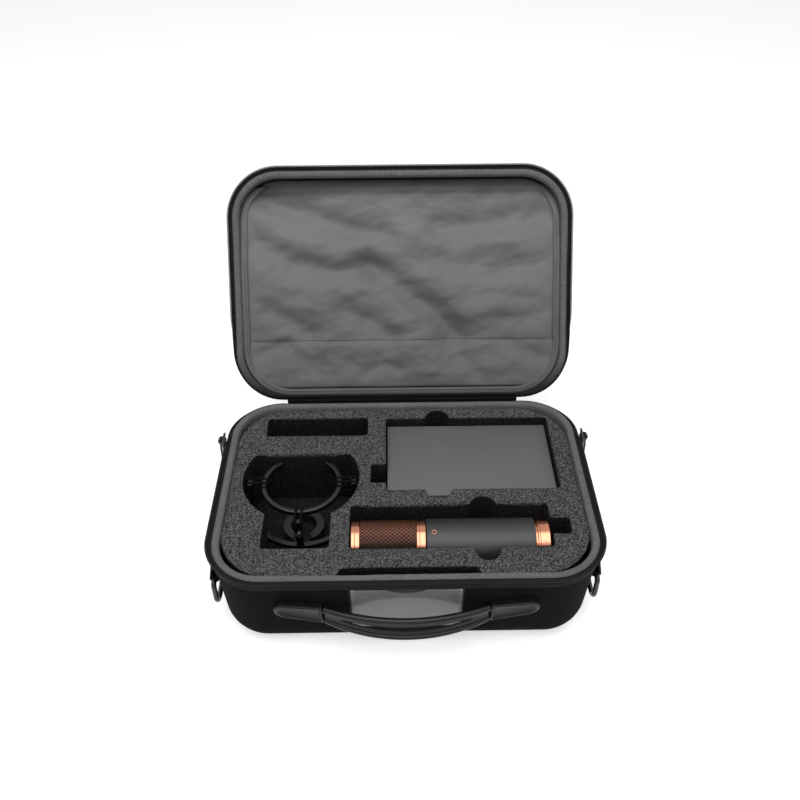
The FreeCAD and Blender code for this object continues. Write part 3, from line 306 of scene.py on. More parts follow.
# Rim bindings: soft grey tape folded over each wall's edge and sewn through.
# The tape has fine cross ribs and waves a little between the seams.
# The lid's has shade painted towards the hinge: darker round the back corners and nearly black along the
# back.
rib_pitch, tape_reach, dark_start, dark_run, dark_most = 1.3, 7, -64, 34, 0.96
binding_tape = Finish("binding tape", roughness=0.8, specular_ior_level=0.2)
# Painted shade: the tape's colour goes dark where the lid's tape carries painted hinge shade.
unshaded_share = 1 - binding_tape.attribute("painted_hinge_shade")
ribs = (binding_tape.attribute("along") * (2 * math.pi / rib_pitch)).wave() * 0.5 + 0.5
nap = binding_tape.speckle(2.2, 4)
binding_tape.tone((ribs * 0.2 + nap * 0.6 + binding_tape.speckle(30) * 0.3) * unshaded_share, (0.012, 0.012, 0.0125),
                  (0.21, 0.21, 0.217))
binding_tape.relief(ribs * 0.5 + nap, 0.3, 0.7)


def clamp(value, top=1):
    return min(max(value, 0), top)


def rim_tape(name, height, body, node, pose=None):
    """The tape on one rim: up its outside, over, down its inside, and back up round the wall."""
    foot, snug = height - tape_reach, shell_wall + 0.1
    outside = [(-0.9, foot), (-0.9, height - 1.5), (-0.5, height - 0.2), (0.6, height + 1.3)]
    crown = [(1.8, height + 2.1), (3.4, height + 2.4), (5, height + 2)]
    inside = [(6, height + 1), (6.4, height - 0.6), (6.4, foot)]
    groove = [(snug, foot), (snug, height + 0.1), (-0.1, height + 0.1), (-0.1, foot)]
    bm = bmesh.new()
    ring_walls(bm, outside + crown + inside + groove + outside[:1], cuts=64)
    faces_out(bm)
    way_round(bm)
    painted_hinge_shade = bm.verts.layers.float.new("painted_hinge_shade")
    for vert in bm.verts:
        sag = noise.noise(Vector((vert.co.x, vert.co.y, 3)) * 0.035) + 0.5 * noise.noise(vert.co * 0.11)
        inward = -Vector((vert.co.x, vert.co.y, 0)).normalized()
        rise = max(0.0, (vert.co.z - height + 4) / 7)
        # Painted shade on the lid's tape, growing towards the hinge.
        if pose:
            vert[painted_hinge_shade] = clamp((dark_start - vert.co.y + 6 * sag) / dark_run, dark_most)
        vert.co += inward * (0.6 * sag * rise) + Vector((0, 0, 0.5 * sag * rise))
    piece(name, bm, binding_tape, body, [node], pose, 60)


rim_tape("base_rim_tape", base_height, "base", "base_binding")
rim_tape("lid_rim_tape", lid_height, "lid", "lid_binding", lid_pose)

# Zip: a black woven tape sewn outside each binding, with a nylon coil along its free edge.
# The coil runs round three sides, and the tape goes on flat round the back corners to the hinge.
zip_tape = Finish("zip tape", roughness=0.8, specular_ior_level=0.08)
twill = weave(zip_tape, 0.8)
zip_tape.tone(twill * 0.6 + zip_tape.speckle(6) * 0.4, (0.004, 0.004, 0.0045), (0.026, 0.026, 0.0275))
zip_tape.relief(twill, 0.2, 0.7)
zip_coil = Finish("zip coil", roughness=0.5, specular_ior_level=0.2)
zip_coil.tone(zip_coil.speckle(3), (0.004, 0.004, 0.0045), (0.012, 0.012, 0.013))
tape_line, tape_thick, flat_start, flat_run, flat_stand, flat_drop = -1.5, 0.8, 8, 36, 1.7, 2.2
coil_line, coil_drop, tooth_pitch, coil_run, coil_tuck = 3.6, 1.3, 1.6, 22, 2.2
tooth_size, hinge_gap, base_zip_end, lid_zip_end = (1.35, 0.72, 1.05), 109, 59.5, 45.5


def whole(bm):
    return list(bm.verts) + list(bm.edges) + list(bm.faces)


def turn_by(bm, verts, angle, axis):
    """Turns vertices about an axis through the origin."""
    bmesh.ops.rotate(bm, cent=(0, 0, 0), matrix=Matrix.Rotation(angle, 3, axis), verts=verts)


def repeat(bm, geom, step, count):
    """Copies a shape along a straight row, and gives the last copy."""
    return bmesh.ops.spin(bm, geom=geom, axis=(0, 0, 1), dvec=step, angle=0, steps=count,
                          use_duplicate=True)["geom_last"]


def march(bm, half_x, half_y, corner, reach, pitch):
    """Repeats the shape drawn so far from one side, round the near edge, and up the other side."""
    centre_x, centre_y = half_x - corner, half_y - corner
    side = reach + centre_y
    last = whole(bm)
    for way_x, way_y, length, bend_x in ((0, -1, side, -centre_x), (1, 0, 2 * centre_x, centre_x),
                                         (0, 1, side, None)):
        count = round(length / pitch)
        last = repeat(bm, last, (way_x * length / count, way_y * length / count, 0), count)
        if bend_x is not None:
            count = round(corner * math.pi / 2 / pitch)
            last = bmesh.ops.spin(bm, geom=last, cent=(bend_x, -centre_y, 0), axis=(0, 0, 1),
                                  angle=math.pi / 2, steps=count, use_duplicate=True)["geom_last"]


def zip_side(body, height, level, reach, turn, pose=None):
    """One half of the zip: its tape as far as the hinge, and its coil as far as the given reach."""
    bm = bmesh.new()
    ring_walls(bm, [(tape_line, height - 7.6), (tape_line, height - 3), (tape_line - 0.5, height - 0.5),
                    (tape_line - 1.4, level - 1.6)], cuts=30)
    ring_walls(bm, [(0.2, height + 1.3), (-0.6, height + 0.7), (-1.4, height + 0.2), (-2.2, height + 0.2)],
               cuts=30)
    for x in (-hinge_gap, hinge_gap):
        bmesh.ops.bisect_plane(bm, geom=whole(bm), plane_co=(x, 0, 0), plane_no=(1, 0, 0))
    for y in (reach, reach + flat_start):
        bmesh.ops.bisect_plane(bm, geom=whole(bm), plane_co=(0, y, 0), plane_no=(0, 1, 0))
    middles = [(face, face.calc_center_median()) for face in bm.faces]
    hinge_run = [face for face, middle in middles if middle.y > reach and abs(middle.x) < hinge_gap]
    bmesh.ops.delete(bm, geom=hinge_run, context="FACES")
    for vert in bm.verts:
        fade = clamp((vert.co.y - reach) / flat_run)
        core = core_point(vert, vert.co.z)
        outward = vert.co - core
        stand = outward.length - shell_corner
        stand = min(stand, flat_stand) * fade + stand * (1 - fade)
        vert.co = core + outward.normalized() * (shell_corner + stand)
        vert.co.z -= flat_drop * fade * clamp((vert.co.z - height + tape_reach) / tape_reach)
    turn_by(bm, bm.verts, turn, "Z")
    faces_out(bm)
    cloth = piece(f"{body}_zip_cloth", bm, zip_tape, body, [f"{body}_zip_tape"], pose)
    thicken(cloth, tape_thick)
    bm = bmesh.new()
    bmesh.ops.create_uvsphere(bm, u_segments=8, v_segments=6, radius=1)
    bmesh.ops.scale(bm, vec=tooth_size, verts=bm.verts)
    half_x, half_y = shell_width / 2 + coil_line, shell_depth / 2 + coil_line
    bmesh.ops.translate(bm, vec=(-half_x, reach, level - coil_drop), verts=bm.verts)
    march(bm, half_x, half_y, shell_corner + coil_line, reach, tooth_pitch)
    for vert in bm.verts:
        fade = clamp((vert.co.y - reach + coil_run) / coil_run)
        vert.co += Vector((-math.copysign(coil_tuck, vert.co.x), 0, -1)) * fade * fade
    turn_by(bm, bm.verts, turn, "Z")
    piece(f"{body}_zip_coil", bm, zip_coil, body, [f"{body}_zip_teeth"], pose)


zip_side("base", base_height, closing_level, base_zip_end, 0)
zip_side("lid", lid_height, lid_level, lid_zip_end, math.pi, lid_pose)

# Zip sliders and pulls: black lacquered die castings that ride on the coils, with a flat pull on a bail.
# The lacquer is a little scuffed, and shines where it isn't.
slider_lacquer = Finish("slider lacquer", metallic=0.6, coat_weight=0.3)
scuff = slider_lacquer.speckle(5, 5)
slider_lacquer.tone(scuff, (0.006, 0.006, 0.0065), (0.022, 0.022, 0.023))
slider_lacquer.drive("Roughness", scuff * 0.3 + 0.22)
slider_lacquer.relief(slider_lacquer.speckle(1.5), 0.05, 0.5)


def dress(finish, *nodes):
    """Gives carried-over pieces of the frame their finish."""
    for name in nodes:
        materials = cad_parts[name].data.materials
        materials.clear()
        materials.append(finish.material)


dress(slider_lacquer, "zip_slider_left", "zip_slider_right", "zip_pull_left", "zip_pull_right")

# Hinge: a strip of the shells' black cloth, sewn outside both bindings along the straight of the back edge.
# It stands up the base's wall, folds over between the two shells, and runs down the open lid's wall.
hinge_half, hinge_thick, hinge_steps = 108.5, 0.8, 60
fold_y, fold_z, fold_out, fold_up = 107.8, 91.2, 1.3, 1.2
base_run, lid_run = [(106.4, 81.5), (106.4, 87), (106.45, 90.4)], [(110.3, 90.7), (113.6, 88.5), (117, 86.4)]
fold = [(fold_y + fold_out * math.cos(turn), fold_z + fold_up * math.sin(turn))
        for turn in [math.radians(150 - 24 * step) for step in range(6)]]
bm = bmesh.new()
strip = [bm.verts.new((-hinge_half, y, z)) for y, z in base_run + fold + lid_run]
edges = [bm.edges.new(pair) for pair in zip(strip, strip[1:])]
bmesh.ops.spin(bm, geom=strip + edges, axis=(0, 0, 1), dvec=(2 * hinge_half / hinge_steps, 0, 0), angle=0,
               steps=hinge_steps)
faces_out(bm)
for vert in bm.verts:
    vert.co.z += 0.35 * noise.noise(vert.co * 0.06)
hinge_strip = piece("hinge_strip", bm, shell_cloth, None, ["hinge_cloth_base", "hinge_cloth_lid"])
thicken(hinge_strip, hinge_thick)
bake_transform(hinge_strip)

# Foam: charcoal open-cell foam, a floor pad, a bed for the deep nests, and a die-cut sheet glued on it.
# The cuts keep the cell texture and their edges are a little ragged; their walls and the nest floors are
# painted dark as shade, with painted glints of lit cells.
# The lip of the microphone's nest leans in over the microphone's front.
foam = Finish("foam", roughness=0.95, specular_ior_level=0.08)
cells = foam.node("ShaderNodeTexVoronoi", {"feature": "F1"},
                  {"Vector": foam.at(), "Scale": 760, "Randomness": 1.0}, "Distance")
fine = foam.speckle(0.95, 2, 0.7)
coarse = foam.speckle(2.2, 3, 0.6)
grit = (fine * 1.2 + coarse * 0.15 + cells * 0.35).between(0.66, 1.06)
# Painted shade: faces below the top are painted darker, and painted glints of lit cells are sprinkled over
# them.
painted_glint = foam.speckle(0.8, 1).between(0.62, 0.74)
painted_cut_shade = foam.attribute("painted_cut_shade").between(0.25, 0.7)
foam.tone(grit * (1 - painted_cut_shade * 0.9) + painted_glint * painted_cut_shade * 0.45, (0.005, 0.005, 0.0053), (0.15, 0.15, 0.154))
foam.relief(fine * 0.7 + coarse * 0.6 + cells * 0.7, 1.3, 0.9)
foam_top, ragged, sheet_cell, pad_cell = 87, 0.2, 1.2, 3.0
lip_left, lip_right, lip_line, lip_width, lip_lean, lip_foot, lip_height = -47, 122, -74, 9, 6, 72, 14


def in_millimetres(bm):
    bmesh.ops.scale(bm, vec=(1000, 1000, 1000), verts=bm.verts)
    return bm


def copied(*nodes):
    """The merged mesh of carried-over pieces, in metres."""
    bm = bmesh.new()
    for node in nodes:
        bm.from_mesh(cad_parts[node].data)
    bmesh.ops.remove_doubles(bm, verts=bm.verts, dist=1e-6)
    return bm


def foam_cut(name, nodes, cell):
    """A remeshed copy of foam layers, with cells that stand out of the cut faces."""
    block = piece(f"{name}_block", in_millimetres(copied(*nodes)), foam, "base")
    cells = block.modifiers.new("cells", "REMESH")
    cells.mode, cells.voxel_size, cells.adaptivity = "VOXEL", cell / 1000, 0.0004
    solid = block.evaluated_get(bpy.context.evaluated_depsgraph_get())
    bm = bmesh.new()
    bm.from_mesh(bpy.data.meshes.new_from_object(solid))
    bpy.data.objects.remove(block)
    in_millimetres(bm)
    bmesh.ops.smooth_vert(bm, verts=bm.verts, factor=0.35, use_axis_x=True, use_axis_y=True, use_axis_z=True)
    bm.normal_update()
    # Each vertex below the foam's top gets a share of painted shade, which darkens its colour.
    depth = bm.verts.layers.float.new("painted_cut_shade")
    for vert in bm.verts:
        vert[depth] = clamp((foam_top - 0.5 - vert.co.z) / 0.8)
        if lip_left < vert.co.x < lip_right:
            near = math.exp(-(((vert.co.y - lip_line) / lip_width) ** 2))
            vert.co.y += lip_lean * near * clamp((vert.co.z - lip_foot) / lip_height)
        grain = noise.noise(vert.co * 0.55) + 0.6 * noise.noise(vert.co * 1.3)
        vert.co += vert.normal * (ragged * grain - 0.2)
    made = piece(name, bm, foam, "base", nodes, sharp=50)


foam_cut("foam_nests", ["foam_insert", "foam_bed"], sheet_cell)
foam_cut("foam_pad", ["foam_floor"], pad_cell)

# Card holder: a dark backing sewn to the front wall, and a hazy clear sheet with a thumb cut-out over it.
# The sheet has a white welt at both sides, sewn down with black thread.
card = Finish("card backing", roughness=0.7)
card.tone(card.speckle(9, 4), (0.006, 0.006, 0.0065), (0.014, 0.014, 0.015))
dress(card, "card_backing")
welt_line, card_seam, card_stand, seam_top, card_pitch, card_stitches = 41.2, 42, 2.1, -2.5, 3.1, 15
clear_sheet = Finish("clear sheet", coat_weight=0.4)
haze = clear_sheet.speckle(26, 4)
welt = (abs(clear_sheet.place()[0]) > welt_line / 1000) * 0.5
clear_sheet.tone(haze * 0.18 + welt, (0.102, 0.102, 0.105), (0.5, 0.5, 0.5))
clear_sheet.drive("Roughness", haze * 0.25 + 0.2)
dress(clear_sheet, "card_window")
thread = Finish("sewing thread", roughness=0.6)
thread.tone(thread.speckle(0.8), (0.02, 0.02, 0.021), (0.07, 0.07, 0.073))
wall_pose = (Matrix.Translation((0, -shell_depth / 2, base_height - rim_band))
             @ Matrix.Rotation(wall_draft, 4, "X"))


def stitch(bm, length, thick):
    """One stitch along x, proud of the cloth."""
    cube = bmesh.ops.create_cube(bm, size=1)["verts"]
    bmesh.ops.scale(bm, vec=(length, thick, thick), verts=cube)
    rounded(bm, list({edge for vert in cube for edge in vert.link_edges}), thick * 0.3, 1, "EDGES")


def joined(verts):
    """Vertices, with the edges and faces that they carry."""
    edges = {edge for vert in verts for edge in vert.link_edges}
    faces = {face for vert in verts for face in vert.link_faces}
    return list(verts) + list(edges) + list(faces)


bm = bmesh.new()
for side in (-1, 1):
    known = set(bm.verts)
    stitch(bm, 2.2, 0.55)
    first = [vert for vert in bm.verts if vert not in known]
    turn_by(bm, first, math.pi / 2, "Y")
    bmesh.ops.translate(bm, vec=(side * card_seam, -card_stand, seam_top), verts=first)
    repeat(bm, joined(first), (0, 0, -card_pitch), card_stitches)
piece("card_stitches", bm, thread, "base", pose=wall_pose)

# Handle: two end plates of soft black rubber riveted to the wall, and a bowed grip hinged between them.
# The grip is moulded with a rolled top rail, a long finger slot and a slimmer rail below.
handle_rubber = Finish("handle rubber", specular_ior_level=0.22)
handle_rubber.tone(handle_rubber.speckle(12, 4), (0.007, 0.007, 0.0075), (0.014, 0.014, 0.0145))
handle_rubber.drive("Roughness", handle_rubber.speckle(8, 4) * 0.1 + 0.2)
handle_rubber.relief(handle_rubber.speckle(0.9, 3), 0.1, 0.5)
grip_end, grip_stand, grip_gap, rail_gap, rail_steps = 66, 3.8, 0.3, 1.3, 48
tab_end, tab_width, tab_thick, tab_lip, tab_corner, tab_level, tab_rise = 104, 20, 6, 0.8, 7, -28.7, 7.5
tab_steps = [(1.3, tab_lip), (0.9, 0), (1.5, -1.4), (2.6, -0.7)]


def soften_edges(made, width, segments, angle):
    """Rounds the edges of a piece that are sharper than the angle."""
    soft = made.modifiers.new("soft edge", "BEVEL")
    soft.width, soft.segments = width / 1000, segments
    soft.limit_method, soft.angle_limit = "ANGLE", math.radians(angle)


def mirrored(bm):
    """Makes the left-hand shape of a right-hand one."""
    bmesh.ops.scale(bm, vec=(-1, 1, 1), verts=bm.verts)
    bmesh.ops.reverse_faces(bm, faces=bm.faces)


def end_plate(name, side):
    """A plate with a raised border, a sunk field and a narrower, rounded outer end."""
    bm = bmesh.new()
    corners = flat_sheet(bm, tab_end - grip_end - grip_gap, tab_width)
    outer = [vert for vert in corners if vert.co.x > 0]
    for vert in outer:
        vert.co.y = vert.co.y * 0.75 + tab_rise
    rounded(bm, outer, tab_corner, 12)
    raised = bmesh.ops.extrude_face_region(bm, geom=list(bm.faces))["geom"]
    bmesh.ops.translate(bm, vec=(0, 0, tab_thick - tab_lip), verts=verts_in(raised))
    top = [part for part in raised if isinstance(part, bmesh.types.BMFace)]
    for thickness, depth in tab_steps:
        bmesh.ops.inset_region(bm, faces=top, thickness=thickness, depth=depth)
    faces_out(bm)
    turn_by(bm, bm.verts, math.pi / 2, "X")
    if side < 0:
        mirrored(bm)
    bmesh.ops.translate(bm, vec=(side * (grip_end + tab_end + grip_gap) / 2, 0, tab_level), verts=bm.verts)
    made = piece(name, bm, handle_rubber, "base", [f"handle_{name}"], wall_pose, 180)
    soften_edges(made, 0.7, 3, 35)


end_plate("tab_left", -1)
end_plate("tab_right", 1)


def rail(bm, radius, level, bow):
    """A round rail along the grip, bowed away from the wall."""
    bend = (grip_end ** 2 + bow ** 2) / (2 * bow)
    half_turn = math.asin((grip_end - rail_gap) / bend)
    middle = -grip_stand - bow
    centre = (0, middle + bend, level)
    ring = bmesh.ops.create_circle(bm, cap_ends=True, radius=radius, segments=14)["verts"]
    turn_by(bm, ring, math.pi / 2, "Y")
    bmesh.ops.translate(bm, vec=(0, middle, level), verts=ring)
    bmesh.ops.rotate(bm, cent=centre, matrix=Matrix.Rotation(-half_turn, 3, "Z"), verts=ring)
    bmesh.ops.spin(bm, geom=joined(ring), cent=centre, axis=(0, 0, 1), angle=2 * half_turn, steps=rail_steps)


top_rail, low_rail, top_bow, low_bow, top_radius, low_radius = -21.7, -36.4, 12.5, 17, 3.0, 2.2
bm = bmesh.new()
rail(bm, top_radius, top_rail, top_bow)
rail(bm, low_radius, low_rail, low_bow)
bmesh.ops.remove_doubles(bm, verts=bm.verts, dist=0.001)
faces_out(bm)
piece("grip_rails", bm, handle_rubber, "handle", [], wall_pose)
slot_half, slot_middle, slot_rise, slot_dip, slot_tip = 57, -29.9, 1.9, 1.7, 6
web_columns, web_rows, web_hollow, web_thick = 52, 4, 1.2, 1.6
bm = bmesh.new()
bmesh.ops.create_grid(bm, x_segments=web_columns, y_segments=2 * web_rows + 1, size=0.5)
for vert in bm.verts:
    row = round((0.5 - vert.co.y) * (2 * web_rows + 1))
    x = vert.co.x * 2 * (grip_end - grip_gap)
    gape = max(0.0, 1 - (x / slot_half) ** 2)
    if row <= web_rows:
        z = top_rail + (slot_middle + slot_rise * gape - top_rail) * row / web_rows
    else:
        lower = slot_middle - slot_dip * gape
        z = lower + (low_rail - lower) * (row - web_rows - 1) / web_rows
    drop = (top_rail - z) / (top_rail - low_rail)
    bow = (top_bow + (low_bow - top_bow) * drop) * (1 - (x / grip_end) ** 2)
    vert.co = (x, -grip_stand - bow + web_hollow * math.sin(math.pi * drop), z)
slot_faces = []
for face in bm.faces:
    levels = [vert.co.z for vert in face.verts]
    if abs(face.calc_center_median().x) < slot_half - slot_tip and min(levels) < slot_middle < max(levels):
        slot_faces.append(face)
bmesh.ops.delete(bm, geom=slot_faces, context="FACES_ONLY")
bmesh.ops.remove_doubles(bm, verts=bm.verts, dist=0.01)
faces_out(bm)
grip_web = piece("grip_web", bm, handle_rubber, "handle", ["handle_grip"], wall_pose, 180)
thicken(grip_web, web_thick)
soft = grip_web.modifiers.new("soft edge", "SUBSURF")
soft.levels = soft.render_levels = 2

# Strap rings: a loop of black webbing riveted high on each side wall, and a wire ring that hangs in it.
# The ring is bent from round wire and lacquered black.
webbing = Finish("ring webbing", roughness=0.75, specular_ior_level=0.12)
twill = weave(webbing, 1.5)
webbing.tone(twill * 0.7 + webbing.speckle(4) * 0.3, (0.008, 0.008, 0.009), (0.026, 0.026, 0.028))
webbing.relief(twill, 0.35, 0.8)
ring_x, ring_y, ring_z, strap_half, strap_bend, strap_thick, strap_steps = 157.428, -60, 48.79, 9, 3.3, 1.7, 6
outer_run, inner_run = [(158.6, 60), (156.9, 69.6)], [(154.9, 58), (155.3, 68.6)]
for side, name in ((-1, "left"), (1, "right")):
    bm = bmesh.new()
    start = bm.verts.new((ring_x + strap_bend, ring_y - strap_half, ring_z))
    bmesh.ops.spin(bm, geom=[start], cent=(ring_x, ring_y, ring_z), axis=(0, 1, 0), angle=math.pi, steps=10)
    chain = sorted(bm.verts, key=lambda vert: vert.co.x)
    for tip, run in ((chain[-1], outer_run), (chain[0], inner_run)):
        for x, z in run:
            above = bm.verts.new((x, ring_y - strap_half, z))
            bm.edges.new((tip, above))
            tip = above
    bmesh.ops.spin(bm, geom=list(bm.verts) + list(bm.edges), axis=(0, 0, 1), angle=0, steps=strap_steps,
                   dvec=(0, 2 * strap_half / strap_steps, 0))
    faces_out(bm)
    if side < 0:
        mirrored(bm)
    loop = piece(f"ring_strap_{name}", bm, webbing, "base", [f"d_ring_tab_{name}"])
    thicken(loop, strap_thick)
dress(slider_lacquer, "d_ring_left", "d_ring_right", "d_ring_rivets")

# Lid pocket: a slack panel of grey nylon in a folded edge strip, sewn to the lining but for its open head.
# A stitched seam crosses it near the foot, and its head is hemmed.
# The cloth hangs in broad slanting folds, each a line of points with its depth and width.
pocket_cloth = Finish("pocket nylon", roughness=0.6, specular_ior_level=0.3)
threads = pocket_cloth.speckle(0.8, 2)
slub = (pocket_cloth.speckle(2.6, 4) * 0.15 + threads * 0.15 + pocket_cloth.speckle(0.9, 2) * 0.2
        + pocket_cloth.speckle(45, 3) * 0.2 + 0.4)
pocket_cloth.tone(slub * (1 - pocket_cloth.attribute("shade")), (0.014, 0.014, 0.015), (0.2, 0.2, 0.212))
pocket_cloth.relief(threads, 0.12, 0.5)
edge_half, edge_foot, edge_head, foot_corner, head_corner, edge_end = 149.2, -102.4, 99.2, 45, 38, 91
panel_half, panel_foot, panel_head, panel_corner, panel_thick = 145, -95.5, 98, 34, 0.9
pocket_level, head_sink, foot_rise, seam_line, hem_line = 36, 8, 4, -52.8, 86
folds = [
    ([(-132, 82), (-80, 63), (-42, 49), (-14, 44)], 8, 13),
    ([(-138, 41), (-102, 21), (-63, 13.5), (-27, 17)], 8, 13),
    ([(-29, 20), (1, -0.5), (33, -27), (50, -45)], 9, 13), ([(-123, -22), (-87, -43.5)], 4.5, 10),
    ([(-52, -21), (-10, -47)], 5.5, 10), ([(38, 52), (87, 58), (140, 64)], 7, 13),
    ([(14, 23), (59, 17), (140, 19)], 6, 14), ([(-35, -83), (-20, -73), (-3, -79)], 2.5, 6),
    ([(-134, -64), (-108, -55)], 3, 6), ([(42, -57), (70, -80)], 3.6, 9), ([(100, -55), (136, -71)], 3, 8),
    ([(96, -36), (138, -25)], 3, 10),
]


def eased(value):
    """A share from 0 to 1 that starts and ends gently."""
    share = clamp(value)
    return share * share * (3 - 2 * share)


def slack(y):
    """The level that the pocket hangs at: near the rim at the foot, deeper at the open head."""
    return pocket_level - head_sink * eased((y - 10) / 80) + foot_rise * eased((-60 - y) / 38)


def sunk(x, y, points, depth, width):
    """How far a fold that runs through the points draws the cloth in."""
    nearest = 1e9
    for (ax, ay), (bx, by) in zip(points, points[1:]):
        length = (bx - ax) ** 2 + (by - ay) ** 2
        share = clamp(((x - ax) * (bx - ax) + (y - ay) * (by - ay)) / length)
        nearest = min(nearest, math.hypot(x - ax - share * (bx - ax), y - ay - share * (by - ay)))
    return depth * math.exp(-((nearest / width) ** 2))


def dimmed(y):
    """How far the hem at the open head, and the foot, lie in the lid's shade."""
    return 0.9 * clamp((y - 78) / 14) + 0.38 * clamp((70 - y) / 165)


def hang(x, y):
    """The height of the pocket's cloth, with its folds, its seam and the hem at its head."""
    rim = max(min((panel_half - abs(x)) / 16, (y - panel_foot) / 14, (panel_head + 2 - y) / 18, 1), 0)
    drift = Vector((x * 0.010 + y * 0.007, y * 0.018 - x * 0.006, 0))
    swell = 3.4 * noise.noise(drift * 1.6) + 1.8 * noise.noise(drift * 4 + Vector((7, 3, 0)))
    swell += 0.7 * noise.noise(drift * 10 + Vector((2, 5, 0)))
    sink = 1.1 * sum(sunk(x, y, *fold) for fold in folds)
    seam = 0.6 * math.tanh((seam_line - y) / 0.8) - 0.9 * math.exp(-(((y - seam_line) / 1.4) ** 2))
    hem = 0.8 * math.tanh((y - hem_line) / 0.7)
    return slack(y) + (2.5 + swell - sink) * rim ** 0.7 + seam + hem


bm = bmesh.new()
bmesh.ops.create_grid(bm, x_segments=150, y_segments=104, size=0.5)
bmesh.ops.scale(bm, vec=(2 * panel_half, panel_head - panel_foot, 1), verts=bm.verts)
bmesh.ops.translate(bm, vec=(0, (panel_head + panel_foot) / 2, 0), verts=bm.verts)
shade = bm.verts.layers.float.new("shade")
for vert in bm.verts:
    a = (abs(vert.co.x) - panel_half + panel_corner) / panel_corner
    b = (abs(vert.co.y) - panel_head + panel_corner) / panel_corner
    if a > 0 and b > 0:
        vert.co.x = math.copysign(panel_half - panel_corner * (1 - a * math.sqrt(1 - b * b / 2)), vert.co.x)
        vert.co.y = math.copysign(panel_head - panel_corner * (1 - b * math.sqrt(1 - a * a / 2)), vert.co.y)
    vert.co.z = hang(vert.co.x, vert.co.y)
    vert[shade] = dimmed(vert.co.y)
faces_out(bm)
pocket_panel = piece("pocket_panel", bm, pocket_cloth, "lid", ["lid_pocket_panel"],
                     lid_pose, 180)
thicken(pocket_panel, panel_thick)


def edge_loop(bm, inset, rise):
    """The strip's outline, inset from the lining, at the level that the pocket hangs at."""
    known = set(bm.edges)
    corners = flat_sheet(bm, 2 * (edge_half - inset), edge_head - edge_foot - 2 * inset)
    bmesh.ops.translate(bm, vec=(0, (edge_head + edge_foot) / 2, 0), verts=corners)
    foot = [vert for vert in corners if vert.co.y < 0]
    head = [vert for vert in corners if vert.co.y > 0]
    rounded(bm, foot, foot_corner - inset, corner_steps)
    rounded(bm, head, head_corner - inset, corner_steps)
    loop = bare_loop(bm, known, 50)
    for vert in {vert for edge in loop for vert in edge.verts}:
        vert.co.z = slack(vert.co.y) + rise
    return loop


bm = bmesh.new()
profile = [(0.2, -1), (-0.3, 0.2), (0.2, 1.3), (1.8, 1.9), (4, 1.7), (5.4, 1.9), (6.2, 1.3), (6, -1)]
loops = [edge_loop(bm, inset, rise) for inset, rise in profile]
for upper, lower in zip(loops, loops[1:] + loops[:1]):
    bmesh.ops.bridge_loops(bm, edges=upper + lower)
bmesh.ops.bisect_plane(bm, geom=whole(bm), plane_co=(0, edge_end, 0), plane_no=(0, 1, 0), clear_outer=True)
faces_out(bm)
shade = bm.verts.layers.float.new("shade")
for vert in bm.verts:
    vert.co.z += 0.5 * noise.noise(vert.co * 0.05) + 0.3 * noise.noise(vert.co * 0.16)
    vert[shade] = 0.12 + 0.9 * dimmed(vert.co.y)
pocket_edge = piece("pocket_edge", bm, pocket_cloth, "lid", ["lid_pocket_binding"],
                    lid_pose, 60)
stitch_length, stitch_pitch, edge_seam, edge_reach, seam_half, seam_stitches = 1.9, 2.9, 4, 60, 138, 95
bm = bmesh.new()
stitch(bm, stitch_length, 0.8)
turn_by(bm, bm.verts, math.pi / 2, "Z")
bmesh.ops.translate(bm, vec=(-edge_half + edge_seam, edge_reach, 1.8), verts=bm.verts)
march(bm, edge_half - edge_seam, -edge_foot - edge_seam, foot_corner - edge_seam, edge_reach, stitch_pitch)
for vert in bm.verts:
    vert.co.z += slack(vert.co.y) + 0.5 * noise.noise(Vector((vert.co.x, vert.co.y, 0)) * 0.05)
pocket_stitches = piece("pocket_stitches", bm, thread, "lid", pose=lid_pose)
bm = bmesh.new()
stitch(bm, stitch_length, 0.7)
bmesh.ops.translate(bm, vec=(-seam_half, seam_line + 1.8, 0.5), verts=bm.verts)
repeat(bm, whole(bm), (stitch_pitch, 0, 0), seam_stitches)
for vert in bm.verts:
    vert.co.z += hang(vert.co.x, vert.co.y)
pocket_seam = piece("pocket_seam", bm, thread, "lid", pose=lid_pose)

# Microphone: a copper-plated head ring, a woven copper head, a dark painted body and a copper tail.
# The metal pieces are turned, polished and plated; the body is brass under matte paint.
mic_y, mic_z = -50.3, 65
copper = Finish("copper plate", metallic=1.0)
grain = copper.node("ShaderNodeMapping", {}, {0: copper.at(), "Scale": (1, 0.03, 0.03)})
brush = copper.node("ShaderNodeTexNoise", {}, {"Vector": grain, "Scale": 2200, "Detail": 2.0}, "Fac")
copper.tone(brush * 0.5 + copper.speckle(6, 4) * 0.5, (0.4, 0.15, 0.085), (0.62, 0.29, 0.18))
copper.drive("Roughness", copper.speckle(4, 4) * 0.12 + 0.13)
mic_paint = Finish("matte paint")
mic_paint.tone(mic_paint.speckle(16, 4), (0.013, 0.013, 0.0135), (0.021, 0.021, 0.0217))
mic_paint.drive("Roughness", mic_paint.speckle(3, 4) * 0.12 + 0.4)
mic_paint.relief(mic_paint.speckle(0.6, 2), 0.05, 0.5)


def turned(name, outline, finish, node, steps=72):
    """A lathe-turned piece on the microphone's axis; the outline holds x and radius."""
    bm = bmesh.new()
    line = [bm.verts.new((x, 0, max(radius, 0.001))) for x, radius in outline]
    edges = [bm.edges.new(pair) for pair in zip(line, line[1:])]
    bmesh.ops.spin(bm, geom=line + edges, axis=(1, 0, 0), angle=2 * math.pi, steps=steps, use_merge=True)
    bmesh.ops.remove_doubles(bm, verts=bm.verts, dist=0.005)
    faces_out(bm)
    bmesh.ops.translate(bm, vec=(0, mic_y, mic_z), verts=bm.verts)
    piece(name, bm, finish, "microphone", [node] if node else [], None, 30)


